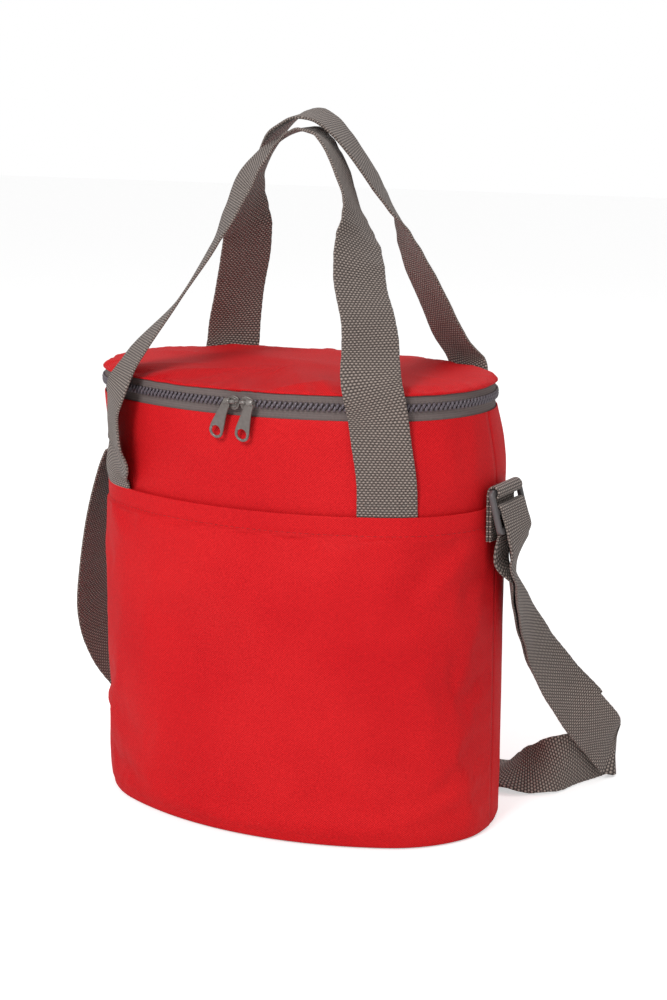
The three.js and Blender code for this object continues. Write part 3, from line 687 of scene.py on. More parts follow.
def pocket_slack(s, z):
    """Soft swells of the pocket's outer face, with short pulls near the seams and the base."""
    pairs = list(zip(s, z))
    from_seam = QUARTER - np.abs(s)
    swell = 0.9 + 1.1 * ripple(pairs, 21.0, 80.0) + 0.35 * ripple(pairs, 4.0, 26.0)
    pulls = 0.5 * ripple([(u * 0.3, v) for u, v in pairs], 17.0, 11.0) * smooth_step(46, 6, from_seam)
    gather = 0.4 * ripple([(u, v * 0.25) for u, v in pairs], 31.0, 13.0) * smooth_step(36, 4, z)
    calm = smooth_step(0, 14, z) * smooth_step(0, 20, from_seam)
    stitched = np.exp(-(((z - (POCKET_TOP - HEM_STITCH)) / 1.6) ** 2))
    hem_calm = 0.35 + 0.65 * smooth_step(0, 26, POCKET_TOP - z)
    out = pocket_out(s) + FABRIC + np.maximum(0, swell) * calm * hem_calm
    creased = folds(s, z, POCKET_FOLDS) * hem_calm * smooth_step(0, 12, from_seam) * smooth_step(0, 12, z)
    return out + (pulls + gather) * calm + creased - 0.45 * stitched * smooth_step(2, 14, from_seam)


def pocket_sewn(z, column, columns):
    """Whether a point of the pocket is held: at its side seams, at the base and along its folded hem."""
    return z < 5.0 or z > POCKET_TOP - HEM_STITCH - 1.5 or column < 2 or column > columns - 3


def build_pocket():
    profile = [(-2.0, 0.7), (-1.0, 1.0), (-0.2, 2.4), (0.0, 4.5)]
    profile += [(0.0, z) for z in levels(8.0, POCKET_TOP - 18.0, 5.0)]
    profile += [(0.0, z) for z in levels(POCKET_TOP - 16.0, POCKET_TOP - 0.6, 1.4)]
    profile += [(-0.15, POCKET_TOP - 0.1), (-0.5, POCKET_TOP)]
    obj = wall_sheet("pocket_panel", -QUARTER + 0.3, QUARTER - 0.3, profile, pocket_slack, 0.0, 3.0)
    columns = len(obj.data.vertices) // len(profile)
    sewn = []
    for r, (_, z) in enumerate(profile):
        sewn += [r * columns + c for c in range(columns) if pocket_sewn(z, c, columns)]
    puff(obj, sewn, 0.6, 0.012, 4.0)
    thicken(obj, FABRIC)
    finish_piece(obj, "shell", POLYESTER_LOOK, "red_fabric", "front_pocket")
    s = np.linspace(-QUARTER + 3, QUARTER - 3, 400)
    z = np.full_like(s, POCKET_TOP - HEM_STITCH)
    x, y, nx, ny = oval(s, 0.0)
    out = pocket_slack(s, z) + 0.05
    path = np.stack([x + nx * out, y + ny * out, z], -1)
    normals = np.stack([nx, ny, 0 * nx], -1)
    stitches("pocket_hem_stitches", [(path, normals)], "shell", RED_THREAD_LOOK, "red_fabric", radius=0.24)


def oval_disc(name, inset, z_of, share_steps, step=5.0, thickness=FABRIC):
    """A sheet that fills the oval: z_of(x, y, share) gives its height."""
    count = int(4 * QUARTER / step)
    s = np.linspace(0, 4 * QUARTER, count, endpoint=False)
    x, y, _, _ = oval(s, inset)
    shares = np.linspace(1.0, 1.0 / share_steps, share_steps)
    points = []
    uv = []
    for share in shares:
        z = z_of(x * share, y * share, share)
        points.append(np.stack([x * share, y * share, z], -1))
        u = np.r_[x * share, x[0] * share]
        v = np.r_[y * share, y[0] * share]
        uv.append(np.stack([u, v], -1))
    points = np.array(points)
    uv = np.array(uv)
    verts, faces, corners = grid(points, uv, True)
    verts = np.vstack([verts, [0, 0, float(np.mean(z_of(np.zeros(1), np.zeros(1), 0.0)))]])
    last = (len(shares) - 1) * count
    for c in range(count):
        faces.append((last + c, last + (c + 1) % count, len(verts) - 1))
        corners += [uv[-1, c], uv[-1, c + 1], (0.0, 0.0)]
    obj = mesh_object(name, verts, faces, corners)
    if thickness:
        thicken(obj, thickness)
    return obj


BASE_LEVEL = 1.25


def build_base():
    def height(x, y, share):
        return np.full_like(x, BASE_LEVEL)

    obj = oval_disc("base_cover", 1.2, height, 10, thickness=1.1)
    finish_piece(obj, "shell", POLYESTER_LOOK, "red_fabric", "base_panel")


# ---- foam, lining and bindings -------------------------------------------------------------------
FOAM_INSET = 1.3
FOAM = 5.0
LINING_INSET = FOAM_INSET + FOAM + 0.3
LINING = 0.8
INSIDE = LINING_INSET + LINING


def crinkle(seed):
    """Small creases of a thin lining, only inward so that it stays clear of the foam."""

    def slack(s, z):
        pairs = list(zip(s, z))
        return -0.5 - 0.5 * ripple(pairs, seed, 34.0) - 0.25 * np.abs(ripple(pairs, seed + 2, 12.0))

    return slack


def build_inside():
    half = {"front": (-QUARTER + 0.3, QUARTER - 0.3), "back": (QUARTER + 0.3, 3 * QUARTER - 0.3)}
    wall_levels = levels(FLOOR_TOP + 0.4, INNER_RIM, 7.0)
    for index, (side, (s0, s1)) in enumerate(half.items()):
        foam_rows = [(-FOAM_INSET, z) for z in wall_levels]
        obj = wall_sheet(side + "_foam_sheet", s0, s1, foam_rows, thickness=FOAM)
        finish_piece(obj, "shell", FOAM_LOOK, "foam", side + "_foam")
        lining_rows = [(-LINING_INSET, z) for z in wall_levels]
        obj = wall_sheet(side + "_lining", s0, s1, lining_rows, crinkle(40.0 + index), thickness=0.5)
        finish_piece(obj, "shell", LINING_LOOK, "silver_lining", side + "_liner")
    obj = oval_disc("base_foam_sheet", FOAM_INSET, lambda x, y, share: 0 * x + 6.5, 6, thickness=5.0)
    finish_piece(obj, "shell", FOAM_LOOK, "foam", "base_foam")

    def floor_height(x, y, share):
        return FLOOR_TOP - 0.3 + 0.25 * ripple(zip(x, y), 8.0, 25.0)

    obj = oval_disc("base_lining", FOAM_INSET, floor_height, 14, thickness=0.4)
    finish_piece(obj, "shell", LINING_LOOK, "silver_lining", "base_liner")


def build_bindings():
    """Tapes that cover the seams inside the bag, and the one that caps the top of the padding."""
    tape_out = -(INSIDE + 0.9)
    for side, s in (("right", QUARTER), ("left", -QUARTER)):
        rows = [(tape_out, z) for z in levels(22.0, INNER_RIM - 1.5, 6.0)]
        obj = wall_sheet(side + "_inner_tape", s - 6.0, s + 6.0, rows, thickness=0.6, step=1.0)
        finish_piece(obj, "shell", BINDING_LOOK, "binding", side + "_seam_binding")
    rows = [(tape_out, z) for z in levels(FLOOR_TOP + 0.4, 20.0, 2.0)]
    obj = closed_band("base_inner_tape", rows, 0.6)
    finish_piece(obj, "shell", BINDING_LOOK, "binding", "base_binding")
    rise = INNER_RIM + 1.1
    rows = [(-TAPE_INSET, rise - 0.3), (-2.2, rise + 0.1), (-5.0, rise + 0.2)]
    rows += [(-INSIDE + 0.6, rise), (-INSIDE, rise - 0.8)]
    obj = closed_band("rim_tape", rows, 0.6)
    finish_piece(obj, "shell", BINDING_LOOK, "binding", "rim_binding")


def closed_band(name, rows, thickness, slack=None, step=4.0):
    """A sheet of (out, z) rows that runs all the way round the oval."""
    count = int(4 * QUARTER / step)
    s = np.linspace(-QUARTER, 3 * QUARTER, count + 1)
    points = np.zeros((len(rows), count, 3))
    uv = np.zeros((len(rows), count + 1, 2))
    travelled = 0.0
    for r, (out, z) in enumerate(rows):
        if r:
            travelled += math.dist(rows[r], rows[r - 1])
        x, y, nx, ny = oval(s[:-1], -out)
        extra = slack(s[:-1], np.full(count, float(z))) if slack else 0.0
        points[r] = np.stack([x + nx * extra, y + ny * extra, np.full(count, float(z))], -1)
        uv[r, :, 0] = s
        uv[r, :, 1] = travelled
    return sheet(name, points, uv, closed=True, thickness=thickness)


# ---- zip -----------------------------------------------------------------------------------------
ZIP_START = 2 * QUARTER + HINGE_ARC / 2 + 2.0 - 4 * QUARTER
ZIP_END = 2 * QUARTER - HINGE_ARC / 2 - 2.0


def tooth(s, z_root, z_tip):
    """A tooth as a slanted bar across the tape's edge, with a rounded outer head: vertices and faces."""
    half_root, half_tip = 0.95, 0.68
    lean = 0.55 if z_tip > z_root else -0.55
    rows = [
        (z_root, half_root, -0.55, 0.55, -lean),
        ((z_root + z_tip) / 2, half_root * 0.94, -0.55, 0.95, 0.0),
        (z_tip, half_tip, -0.35, 0.60, lean),
    ]
    verts = []
    for z, half, inner, outer, shift in rows:
        for out in (inner, outer):
            for ds, trim in ((-half, -0.2), (-half * 0.55, 0.1), (half * 0.55, 0.1), (half, -0.2)):
                lift = out + (trim if out > 0 else -trim)
                x, y, _, _ = oval(np.array([s + ds + shift]), -lift)
                verts.append((x[0], y[0], z))
    faces = []
    for r in range(2):
        a, b = r * 8, (r + 1) * 8
        ring_order = [0, 1, 2, 3, 7, 6, 5, 4]
        for k in range(8):
            i, j = ring_order[k], ring_order[(k + 1) % 8]
            faces.append((a + i, a + j, b + j, b + i))
    faces.append((0, 4, 5, 6, 7, 3, 2, 1))
    faces.append((16, 17, 18, 19, 23, 22, 21, 20))
    return verts, faces


def build_teeth():
    rows = {
        "lower": (ZIP_LEVEL - CHAIN / 2, ZIP_LEVEL + 0.8, 0.0, "shell"),
        "upper": (ZIP_LEVEL + CHAIN / 2, ZIP_LEVEL - 0.8, TOOTH_PITCH / 2, "lid"),
    }
    for level, (root, tip, shift, body) in rows.items():
        verts = []
        faces = []
        s = ZIP_START + 5.0 + shift
        while s < ZIP_END - 5.0:
            v, f = tooth(s, root, tip)
            faces += [tuple(i + len(verts) for i in face) for face in f]
            verts += v
            s += TOOTH_PITCH
        obj = outward(mesh_object(level + "_teeth", verts, faces))
        finish_piece(obj, body, TEETH_LOOK, "zip_teeth", "zip_teeth_" + level)


def cloth_wave(seed, amount):
    """Slight waviness of a narrow band of cloth, calm next to the teeth."""

    def slack(s, z):
        pairs = [(u, v * 0.5) for u, v in zip(s, z)]
        return amount * ripple(pairs, seed, 24.0) * smooth_step(3, 8, np.abs(np.asarray(z) - ZIP_LEVEL))

    return slack


def build_tapes():
    out = -TAPE_INSET
    rows = [(out, z) for z in levels(TAPE_BOTTOM, ZIP_LEVEL - 4.0, 1.6)]
    rows += [(out + 0.35, ZIP_LEVEL - 3.4), (out + 0.45, ZIP_LEVEL - 2.2)]
    rows += [(out + 0.1, ZIP_LEVEL - 1.0), (out, ZIP_LEVEL - 0.1)]
    obj = wall_sheet("lower_tape", ZIP_START, ZIP_END, rows, cloth_wave(2.0, 0.25), thickness=0.7, step=3.0)
    finish_piece(obj, "shell", TAPE_LOOK, "zip_tape", "zip_tape_lower")
    rows = [(out, ZIP_LEVEL + 0.1), (out + 0.1, ZIP_LEVEL + 1.0)]
    rows += [(out + 0.45, ZIP_LEVEL + 2.2), (out + 0.35, ZIP_LEVEL + 3.4)]
    rows += [(out, z) for z in levels(ZIP_LEVEL + 4.2, UPPER_TAPE_TOP, 1.4)]
    obj = wall_sheet("upper_tape", ZIP_START, ZIP_END, rows, cloth_wave(5.0, 0.25), thickness=0.7, step=3.0)
    finish_piece(obj, "lid", TAPE_LOOK, "zip_tape", "zip_tape_upper")


def build_stops():
    for side, s0 in (("left", ZIP_START), ("right", ZIP_END - 4.0)):
        verts = []
        faces = []
        for k in range(3):
            v, f = tooth(s0 + 0.8 + 1.2 * k, LOWER_TEETH_BOTTOM - 0.2, ZIP_LEVEL + 1.2)
            faces += [tuple(i + len(verts) for i in face) for face in f]
            verts += v
        obj = outward(mesh_object(side + "_stop", verts, faces))
        finish_piece(obj, "shell", ZIP_METAL_LOOK, "zip_metal", side + "_zip_stop")


def build_hinge_strip():
    """The cloth that joins the lid to the back, built as it lies with the lid shut."""
    rows = [(-TAPE_INSET, z) for z in levels(TAPE_BOTTOM, LID_SEAM + 0.2, 0.9)]
    s0 = 2 * QUARTER - HINGE_ARC / 2
    s1 = 2 * QUARTER + HINGE_ARC / 2
    obj = wall_sheet("lid_hinge_cloth", s0, s1, rows, cloth_wave(7.0, 0.2), thickness=0.7)
    finish_piece(obj, None, POLYESTER_LOOK, "red_fabric", "lid_hinge_strip")
    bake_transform(obj)


# ---- lid -----------------------------------------------------------------------------------------
LID_FOLDS = [
    (-96, -58, -60, -30, 6, 1.3),
    (-70, -74, -38, -44, 5, 1.2),
    (-34, -82, -22, -48, 4, 1.0),
    (4, -86, -8, -60, 4, 1.1),
    (30, -84, 62, -56, 5, 1.6),
    (66, -76, 40, -40, 6, 1.2),
    (100, -58, 70, -34, 6, 1.3),
    (122, -20, 92, -6, 7, 1.0),
    (-118, 10, -84, 20, 7, 1.0),
    (-60, 20, 70, -6, 12, 1.4),
    (-90, 60, 20, 66, 7, 1.5),
    (30, 70, 96, 46, 7, 1.2),
]


def lid_height(x, y, share):
    """Height of the lid's outer fabric: nearly flat with soft folds, and puckers near its seam."""
    x = np.asarray(x, float)
    y = np.asarray(y, float)
    pairs = list(zip(x, y))
    dome = LID_RISE * (1 - share**2)
    swell = 0.9 * ripple(pairs, 12.0, 70.0) + 0.35 * ripple(pairs, 13.0, 24.0) + folds(x, y, LID_FOLDS)
    inner = 1 - smooth_step(0.9, 1.0, share)
    angle = np.arctan2(y / HALF_DEPTH, x / HALF_LENGTH)
    pucker = ripple([(a * 60, share * 6) for a in angle], 14.0, 4.0) * smooth_step(0.8, 0.97, share)
    return LID_SEAM + 0.9 + dome + np.maximum(0.0, (swell + 0.5) * inner + 0.8 * pucker * (share < 0.999))


def lid_hem(s):
    """How far the lid's lower edge hangs over the zip tape, which varies along the seam."""
    return 0.9 * ripple([(u, 0.0) for u in s], 61.0, 30.0) + 0.5 * ripple([(u, 9.0) for u in s], 62.0, 11.0)


def build_lid():
    shares = [1.0, 0.985, 0.965, 0.94, 0.91, 0.87, 0.83, 0.78, 0.72, 0.65, 0.57, 0.49, 0.40, 0.30, 0.20, 0.10]
    count = int(4 * QUARTER / 3.0)
    s = np.linspace(-QUARTER, 3 * QUARTER, count, endpoint=False)
    rim = [(-1.6, LID_SEAM - 0.3), (-0.7, LID_SEAM - 0.2), (-0.05, LID_SEAM + 0.3), (0.0, LID_SEAM + 0.8)]
    rows = []
    uv = []
    x0, y0, _, _ = oval(s, 0.0)
    wrap = lambda values: np.r_[values, values[0]]
    hem = lid_hem(s)
    for step, (out, z) in enumerate(rim):
        x, y, _, _ = oval(s, -out - 0.35)
        rows.append(np.stack([x, y, z + hem * (1 - step / 4)], -1))
        uv.append(np.stack([wrap(x0), wrap(y0)], -1) * (1 + (LID_SEAM + 0.8 - z) / 100))
    for share in shares[1:]:
        z = lid_height(x0 * share, y0 * share, share)
        rows.append(np.stack([x0 * share, y0 * share, z], -1))
        uv.append(np.stack([wrap(x0), wrap(y0)], -1) * share)
    points = np.array(rows)
    verts, faces, corners = grid(points, np.array(uv), True)
    centre = [0.0, 0.0, float(lid_height(np.zeros(1), np.zeros(1), 0.0)[0])]
    verts = np.vstack([verts, centre])
    last = (len(rows) - 1) * count
    for c in range(count):
        faces.append((last + c, last + (c + 1) % count, len(verts) - 1))
        corners += [uv[-1][c], uv[-1][c + 1], (0.0, 0.0)]
    obj = mesh_object("lid_cover", verts, faces, corners)
    puff(obj, range(len(rim) * count), 0.5, 0.02, 3.0)
    thicken(obj, FABRIC)
    finish_piece(obj, "lid", POLYESTER_LOOK, "red_fabric", "lid_panel")

    obj = oval_disc("lid_foam_sheet", 5.0, lambda x, y, share: 0 * x + UPPER_TAPE_TOP - 1.6, 6, thickness=3.8)
    finish_piece(obj, "lid", FOAM_LOOK, "foam", "lid_foam")

    def lining_height(x, y, share):
        return LID_LINING + 0.7 + 0.3 * ripple(zip(x, y), 18.0, 26.0) * (1 - smooth_step(0.9, 1.0, share))

    obj = oval_disc("lid_lining", 4.6, lining_height, 16, thickness=0.4)
    finish_piece(obj, "lid", LINING_LOOK, "silver_lining", "lid_liner")
    rows = [(-3.2, UPPER_TAPE_TOP - 0.6), (-3.3, LID_LINING + 0.5)]
    rows += [(-4.2, LID_LINING - 0.1), (-7.5, LID_LINING - 0.2)]
    obj = closed_band("lid_inner_tape", rows, 0.5)
    finish_piece(obj, "lid", BINDING_LOOK, "binding", "lid_binding")


# ---- ribbons of webbing --------------------------------------------------------------------------
def catmull(points, count):
    """A centripetal Catmull-Rom curve through the points, at count + 1 even parameters."""
    points = np.asarray(points, float)
    first = 2 * points[0] - points[1]
    last = 2 * points[-1] - points[-2]
    padded = np.vstack([first, points, last])
    result = []
    spans = len(points) - 1
    for t in np.linspace(0, spans, count + 1):
        i = min(int(t), spans - 1)
        f = t - i
        p0, p1, p2, p3 = padded[i : i + 4]
        d = [max(np.linalg.norm(b - a), 1e-6) ** 0.5 for a, b in ((p0, p1), (p1, p2), (p2, p3))]
        m1 = d[1] * ((p1 - p0) / d[0] - (p2 - p0) / (d[0] + d[1]) + (p2 - p1) / d[1])
        m2 = d[1] * ((p2 - p1) / d[1] - (p3 - p1) / (d[1] + d[2]) + (p3 - p2) / d[2])
        h = np.array([2 * f**3 - 3 * f**2 + 1, f**3 - 2 * f**2 + f, -2 * f**3 + 3 * f**2, f**3 - f**2])
        result.append(h[0] * p1 + h[1] * m1 + h[2] * p2 + h[3] * m2)
    return np.array(result)


def lerp_rows(rows, count):
    rows = np.asarray(rows, float)
    spans = len(rows) - 1
    t = np.linspace(0, spans, count + 1)
    i = np.minimum(t.astype(int), spans - 1)
    f = t - i
    f = (f * f * (3 - 2 * f))[:, None]
    return rows[i] * (1 - f) + rows[i + 1] * f


class Ribbon:
    """The mid surface of a strap: control rows are (x, y, z, wx, wy, wz), w being the way of its width."""

    def __init__(self, control, width, spacing=2.5):
        control = np.array([[float(v) for v in row] for row in control])
        coarse = catmull(control[:, :3], 12 * (len(control) - 1))
        length = np.linalg.norm(np.diff(coarse, axis=0), axis=1)
        reach = np.r_[0, np.cumsum(length)]
        ways = lerp_rows(control[:, 3:], 12 * (len(control) - 1))
        count = max(4, int(reach[-1] / spacing))
        even = np.linspace(0, reach[-1], count + 1)
        pick = lambda values: np.stack([np.interp(even, reach, values[:, k]) for k in range(3)], -1)
        self.centre = pick(coarse)
        self.along = np.gradient(self.centre, axis=0)
        self.along /= np.linalg.norm(self.along, axis=1)[:, None]
        across = pick(ways)
        across -= self.along * np.sum(across * self.along, axis=1)[:, None]
        self.across = across / np.linalg.norm(across, axis=1)[:, None]
        self.up = np.cross(self.along, self.across)
        self.reach = even
        self.width = width
        self.hug = np.zeros(len(even))

    def hug_wall(self, below, above):
        """Curves the strap's width round the bag where it lies on the wall, fading out upward."""
        self.hug = 1 - smooth_step(below, above, self.centre[:, 2])

    def section(self, distance, sideways, lift):
        """Points of the strap's cross section at a distance, for lists of sideways and lift."""
        pick = lambda values: np.array([np.interp(distance, self.reach, values[:, k]) for k in range(3)])
        centre, across, up = pick(self.centre), pick(self.across), pick(self.up)
        sideways = np.asarray(sideways, float)
        lift = np.asarray(lift, float)
        flat = centre + sideways[:, None] * across + lift[:, None] * up
        hug = float(np.interp(distance, self.reach, self.hug))
        if hug <= 0:
            return flat
        s = oval_place(centre[0], centre[1])
        x, y, nx, ny = (float(v) for v in oval(s))
        out = (centre[0] - x) * nx + (centre[1] - y) * ny
        turn = 1 if across[1] * nx - across[0] * ny > 0 else -1
        side = 1 if up[0] * nx + up[1] * ny > 0 else -1
        x, y, nx, ny = oval(s + turn * sideways)
        reach = out + side * lift
        curved = np.stack([x + nx * reach, y + ny * reach, np.full_like(x, centre[2])], -1)
        return flat * (1 - hug) + curved * hug

    def at(self, distance, sideways=0.0, lift=0.0):
        """One point of the strap, moved sideways and up off its mid surface."""
        return self.section(float(distance), [sideways], [lift])


def webbing(name, ribbon, thickness, curl=0.0, start=0.0, end=None):
    """A woven strap with rounded selvedges; curl bows it across its width."""
    end = ribbon.reach[-1] if end is None else end
    keep = (ribbon.reach >= start - 1e-6) & (ribbon.reach <= end + 1e-6)
    reach = ribbon.reach[keep]
    half = ribbon.width / 2
    edge = thickness / 2
    outline = []
    for k in range(13):
        f = -1 + 2 * k / 12
        outline.append((f * (half - edge), edge))
    for a in (60, 20, -20, -60):
        outline.append((half - edge + edge * math.cos(math.radians(a)), edge * math.sin(math.radians(a))))
    for k in range(13):
        f = 1 - 2 * k / 12
        outline.append((f * (half - edge), -edge))
    for a in (-120, -160, 160, 120):
        outline.append((-half + edge + edge * math.cos(math.radians(a)), edge * math.sin(math.radians(a))))
    outline = np.array(outline)
    wobble = ripple([(r, 3.0) for r in reach], 50.0 + len(name), 38.0)
    rows = []
    uv = []
    for i in range(len(reach)):
        lift = outline[:, 1] + curl * wobble[i] * ((outline[:, 0] / half) ** 2 - 0.4)
        width_wave = 1 + 0.006 * math.sin(reach[i] * 0.9)
        rows.append(ribbon.section(reach[i], outline[:, 0] * width_wave, lift))
        v = np.r_[outline[:, 0], outline[0, 0]]
        uv.append(np.stack([np.full(len(outline) + 1, reach[i]), v], -1))
    verts, faces, corners = grid(np.array(rows), np.array(uv), True)
    n = len(outline)
    first = tuple(range(n))
    final = tuple(len(verts) - n + k for k in range(n))[::-1]
    corners += [uv[0][k] for k in range(n)]
    corners += [uv[-1][n - 1 - k] for k in range(n)]
    return outward(mesh_object(name, verts, faces + [first, final], corners))


def across_path(ribbon, distance, inset=2.5, lift=0.0):
    """A path across the strap at a distance along it, with normals."""
    half = ribbon.width / 2 - inset
    sideways = np.linspace(-half, half, 40)
    path = np.vstack([ribbon.at(distance, w, lift) for w in sideways])
    normals = np.vstack([ribbon.at(distance, w, lift + 1.0) for w in sideways]) - path
    return path, normals


def along_path(ribbon, start, end, sideways0, sideways1, lift=0.0):
    """A path along the strap from one distance and side to another, with normals."""
    steps = np.linspace(0, 1, 60)
    both = [(start + (end - start) * f, sideways0 + (sideways1 - sideways0) * f) for f in steps]
    path = np.vstack([ribbon.at(d, w, lift) for d, w in both])
    normals = np.vstack([ribbon.at(d, w, lift + 1.0) for d, w in both]) - path
    return path, normals


# ---- carry handles -------------------------------------------------------------------------------
def on_wall(s, out, z):
    """A strap control row flat on the wall at a distance along the oval."""
    x, y, nx, ny = (float(v) for v in oval(s, -out))
    return (x, y, z, -ny, nx, 0)


FRONT_HANDLE_PATH = [
    on_wall(-108, 1.5, TAIL_BOTTOM),
    on_wall(-111, 1.7, 196),
    on_wall(-114, 2.2, 214),
    on_wall(-114, 4.5, 227),
    (-101, -74.5, 243, 0.74, -0.67, -0.05),
    (-99, -79.5, 256, 0.67, -0.73, -0.1),
    (-96, -80, 275, 0.66, -0.74, -0.1),
    (-91, -79, 293, 0.79, -0.61, -0.02),
    (-84, -71.5, 310, 0.74, -0.67, 0.04),
    (-62, -50, 350, 0.53, -0.84, 0.11),
    (-45, -35, 384, 0.57, -0.82, 0.05),
    (-37, -29, 404, 0.65, -0.76, -0.07),
    (-29, -24, 424, 0.7, -0.7, -0.12),
    (-18, -20, 440.5, 0.6, -0.79, -0.1),
    (-6, -15, 452, 0.35, -0.93, -0.1),
    (9, -13.5, 458, 0, -0.99, -0.05),
    (20, -15, 455.5, 0, -0.98, 0.15),
    (29, -17, 450, 0.03, -0.94, 0.32),
    (38, -20, 439, 0.06, -0.93, 0.35),
    (45, -24, 427, 0.1, -0.92, 0.37),
    (52, -28, 415, 0.12, -0.91, 0.4),
    (57, -31, 407, 0, -0.9, 0.44),
    (61, -35, 399, -0.15, -0.88, 0.42),
    (64, -40, 389, -0.4, -0.85, 0.3),
    (68, -47, 377, -0.53, -0.82, 0.2),
    (72, -53, 364, -0.57, -0.81, 0.14),
    (82, -62, 345, -0.6, -0.8, 0.06),
    (89, -68, 326, -0.7, -0.72, 0),
    (94.5, -74.5, 306, -0.85, -0.52, -0.05),
    (97, beside(97, 3), 284, -0.9, -0.43, 0),
    (97, beside(97, 2.6), 262, -0.9, -0.43, 0),
    (97, beside(97, 2.4), 221, -0.9, -0.43, 0),
    (97, beside(97, 1.7), 196, -0.9, -0.43, 0),
    (97, beside(97, 1.5), TAIL_BOTTOM, -0.9, -0.43, 0),
]
BACK_HANDLE_PATH = [
    (-95, -beside(95, 1.5), TAIL_BOTTOM, -0.9, -0.43, 0),
    (-95, -beside(95, 1.7), 200, -0.9, -0.43, 0),
    (-95, -beside(95, 2.4), 226, -0.9, -0.43, 0),
    (-95, -beside(95, 2.6), 262, -0.9, -0.43, 0),
    (-95, -beside(95, 3), 284, -0.9, -0.43, 0),
    (-94, 76, 304, -0.8, -0.6, 0),
    (-86, 66, 341, -0.6, -0.8, -0.04),
    (-75, 55, 366, -0.63, -0.77, -0.1),
    (-67, 45, 385, -0.58, -0.78, -0.2),
    (-63, 38, 396, -0.38, -0.87, -0.3),
    (-58, 31, 408, -0.12, -0.93, -0.34),
    (-51, 25, 421, 0.08, -0.94, -0.32),
    (-43, 22, 433, 0.14, -0.95, -0.28),
    (-34, 18.5, 445, 0.12, -0.96, -0.2),
    (-22, 12.5, 457, 0.05, -0.97, -0.18),
    (-9, 5, 464, 0, -0.98, -0.18),
    (5, 2, 468, 0.02, -0.99, -0.12),
    (17, 3, 464.5, 0.15, -0.98, -0.08),
    (29, 5.5, 453.5, 0.25, -0.96, -0.1),
    (38, 9.5, 440.5, 0.33, -0.93, -0.16),
    (46, 15.5, 426, 0.38, -0.9, -0.22),
    (52.5, 22.5, 412, 0.47, -0.85, -0.23),
    (57, 29, 401, 0.58, -0.79, -0.18),
    (60, 32.5, 391, 0.66, -0.75, -0.05),
    (63, 37, 379, 0.74, -0.66, 0.03),
    (68, 45.5, 360, 0.82, -0.57, 0.05),
    (74.5, 57.5, 337, 0.84, -0.54, 0.05),
    (82, 67.5, 318, 0.86, -0.5, 0.08),
    (90, 76, 302, 0.89, -0.43, 0.08),
    (95, -beside(95, 3.4), 286, 0.9, -0.43, 0),
    (95, -beside(95, 2.6), 262, 0.9, -0.43, 0),
    (95, -beside(95, 2.4), 226, 0.9, -0.43, 0),
    (95, -beside(95, 1.7), 200, 0.9, -0.43, 0),
    (95, -beside(95, 1.5), TAIL_BOTTOM, 0.9, -0.43, 0),
]
BEND_Y = 83.0


def bend_handle(obj):
    """Bakes the strap's placement into its mesh."""
    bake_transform(obj)


def box_stitch(ribbon, start, end, lift):
    """The runs of a sewn box with a cross in it."""
    half = ribbon.width / 2 - 4.0
    runs = [along_path(ribbon, start, end, w, w, lift) for w in (-half, half)]
    runs += [across_path(ribbon, d, 4.0, lift) for d in (start, end)]
    runs += [along_path(ribbon, start, end, w, -w, lift) for w in (half, -half)]
    return runs


def build_handles():
    for side, path, y in (("front", FRONT_HANDLE_PATH, -BEND_Y), ("back", BACK_HANDLE_PATH, BEND_Y)):
        ribbon = Ribbon(path, WEBBING)
        ribbon.hug_wall(HANDLE_BREAK, HANDLE_BREAK + 22 if side == "front" else WALL_TOP)
        obj = webbing(side + "_handle_strap", ribbon, WEBBING_THICK, curl=0.5)
        nodes = [f"{side}_handle_arch", f"{side}_handle_left_end", f"{side}_handle_right_end"]
        finish_piece(obj, None, WEBBING_LOOK, "grey_webbing", *nodes)
        bend_handle(obj)
        length = ribbon.reach[-1]
        outer = -1 if ribbon.up[4][1] * y < 0 else 1
        lift = outer * (WEBBING_THICK / 2 + 0.05)
        runs = []
        if side == "front":
            for distance in (POCKET_TOP + 4.0 - TAIL_BOTTOM, POCKET_TOP + 7.5 - TAIL_BOTTOM):
                runs += [across_path(ribbon, d, 2.5, lift) for d in (distance, length - distance)]
        else:
            box = (6.0, 38.0)
            runs += box_stitch(ribbon, box[0], box[1], lift)
            runs += box_stitch(ribbon, length - box[1], length - box[0], lift)
        threads = stitches(side + "_handle_stitches", runs, None, GREY_THREAD_LOOK, "grey_webbing")
        bend_handle(threads)


# ---- shoulder strap ------------------------------------------------------------------------------
ADJUSTER_TOP = (147.0, 232.0)
ADJUSTER_LEAN = math.radians(15.0)
ADJUSTER_WIDTH = 47.0
ADJUSTER_PITCH = 12.5
ADJUSTER_THICK = 3.6
ADJUSTER_BAR = 4.4
NEAR_LEG = 3.1
SIDE_LEG = 143.0
TAIL_OFFSET = 3.0
LOOP_RADIUS = 3.7


def by_adjuster(down, out):
    """x and z of a point by the adjuster: down its plate from the top bar, out off its middle plane."""
    x = ADJUSTER_TOP[0] + down * math.sin(ADJUSTER_LEAN) + out * math.cos(ADJUSTER_LEAN)
    z = ADJUSTER_TOP[1] - down * math.cos(ADJUSTER_LEAN) + out * math.sin(ADJUSTER_LEAN)
    return x, z


def near_bar(down, out):
    """A strap control row beside the adjuster's middle bar."""
    x, z = by_adjuster(ADJUSTER_PITCH + down, out)
    return (x, 0.0, z, 0, 1, 0)


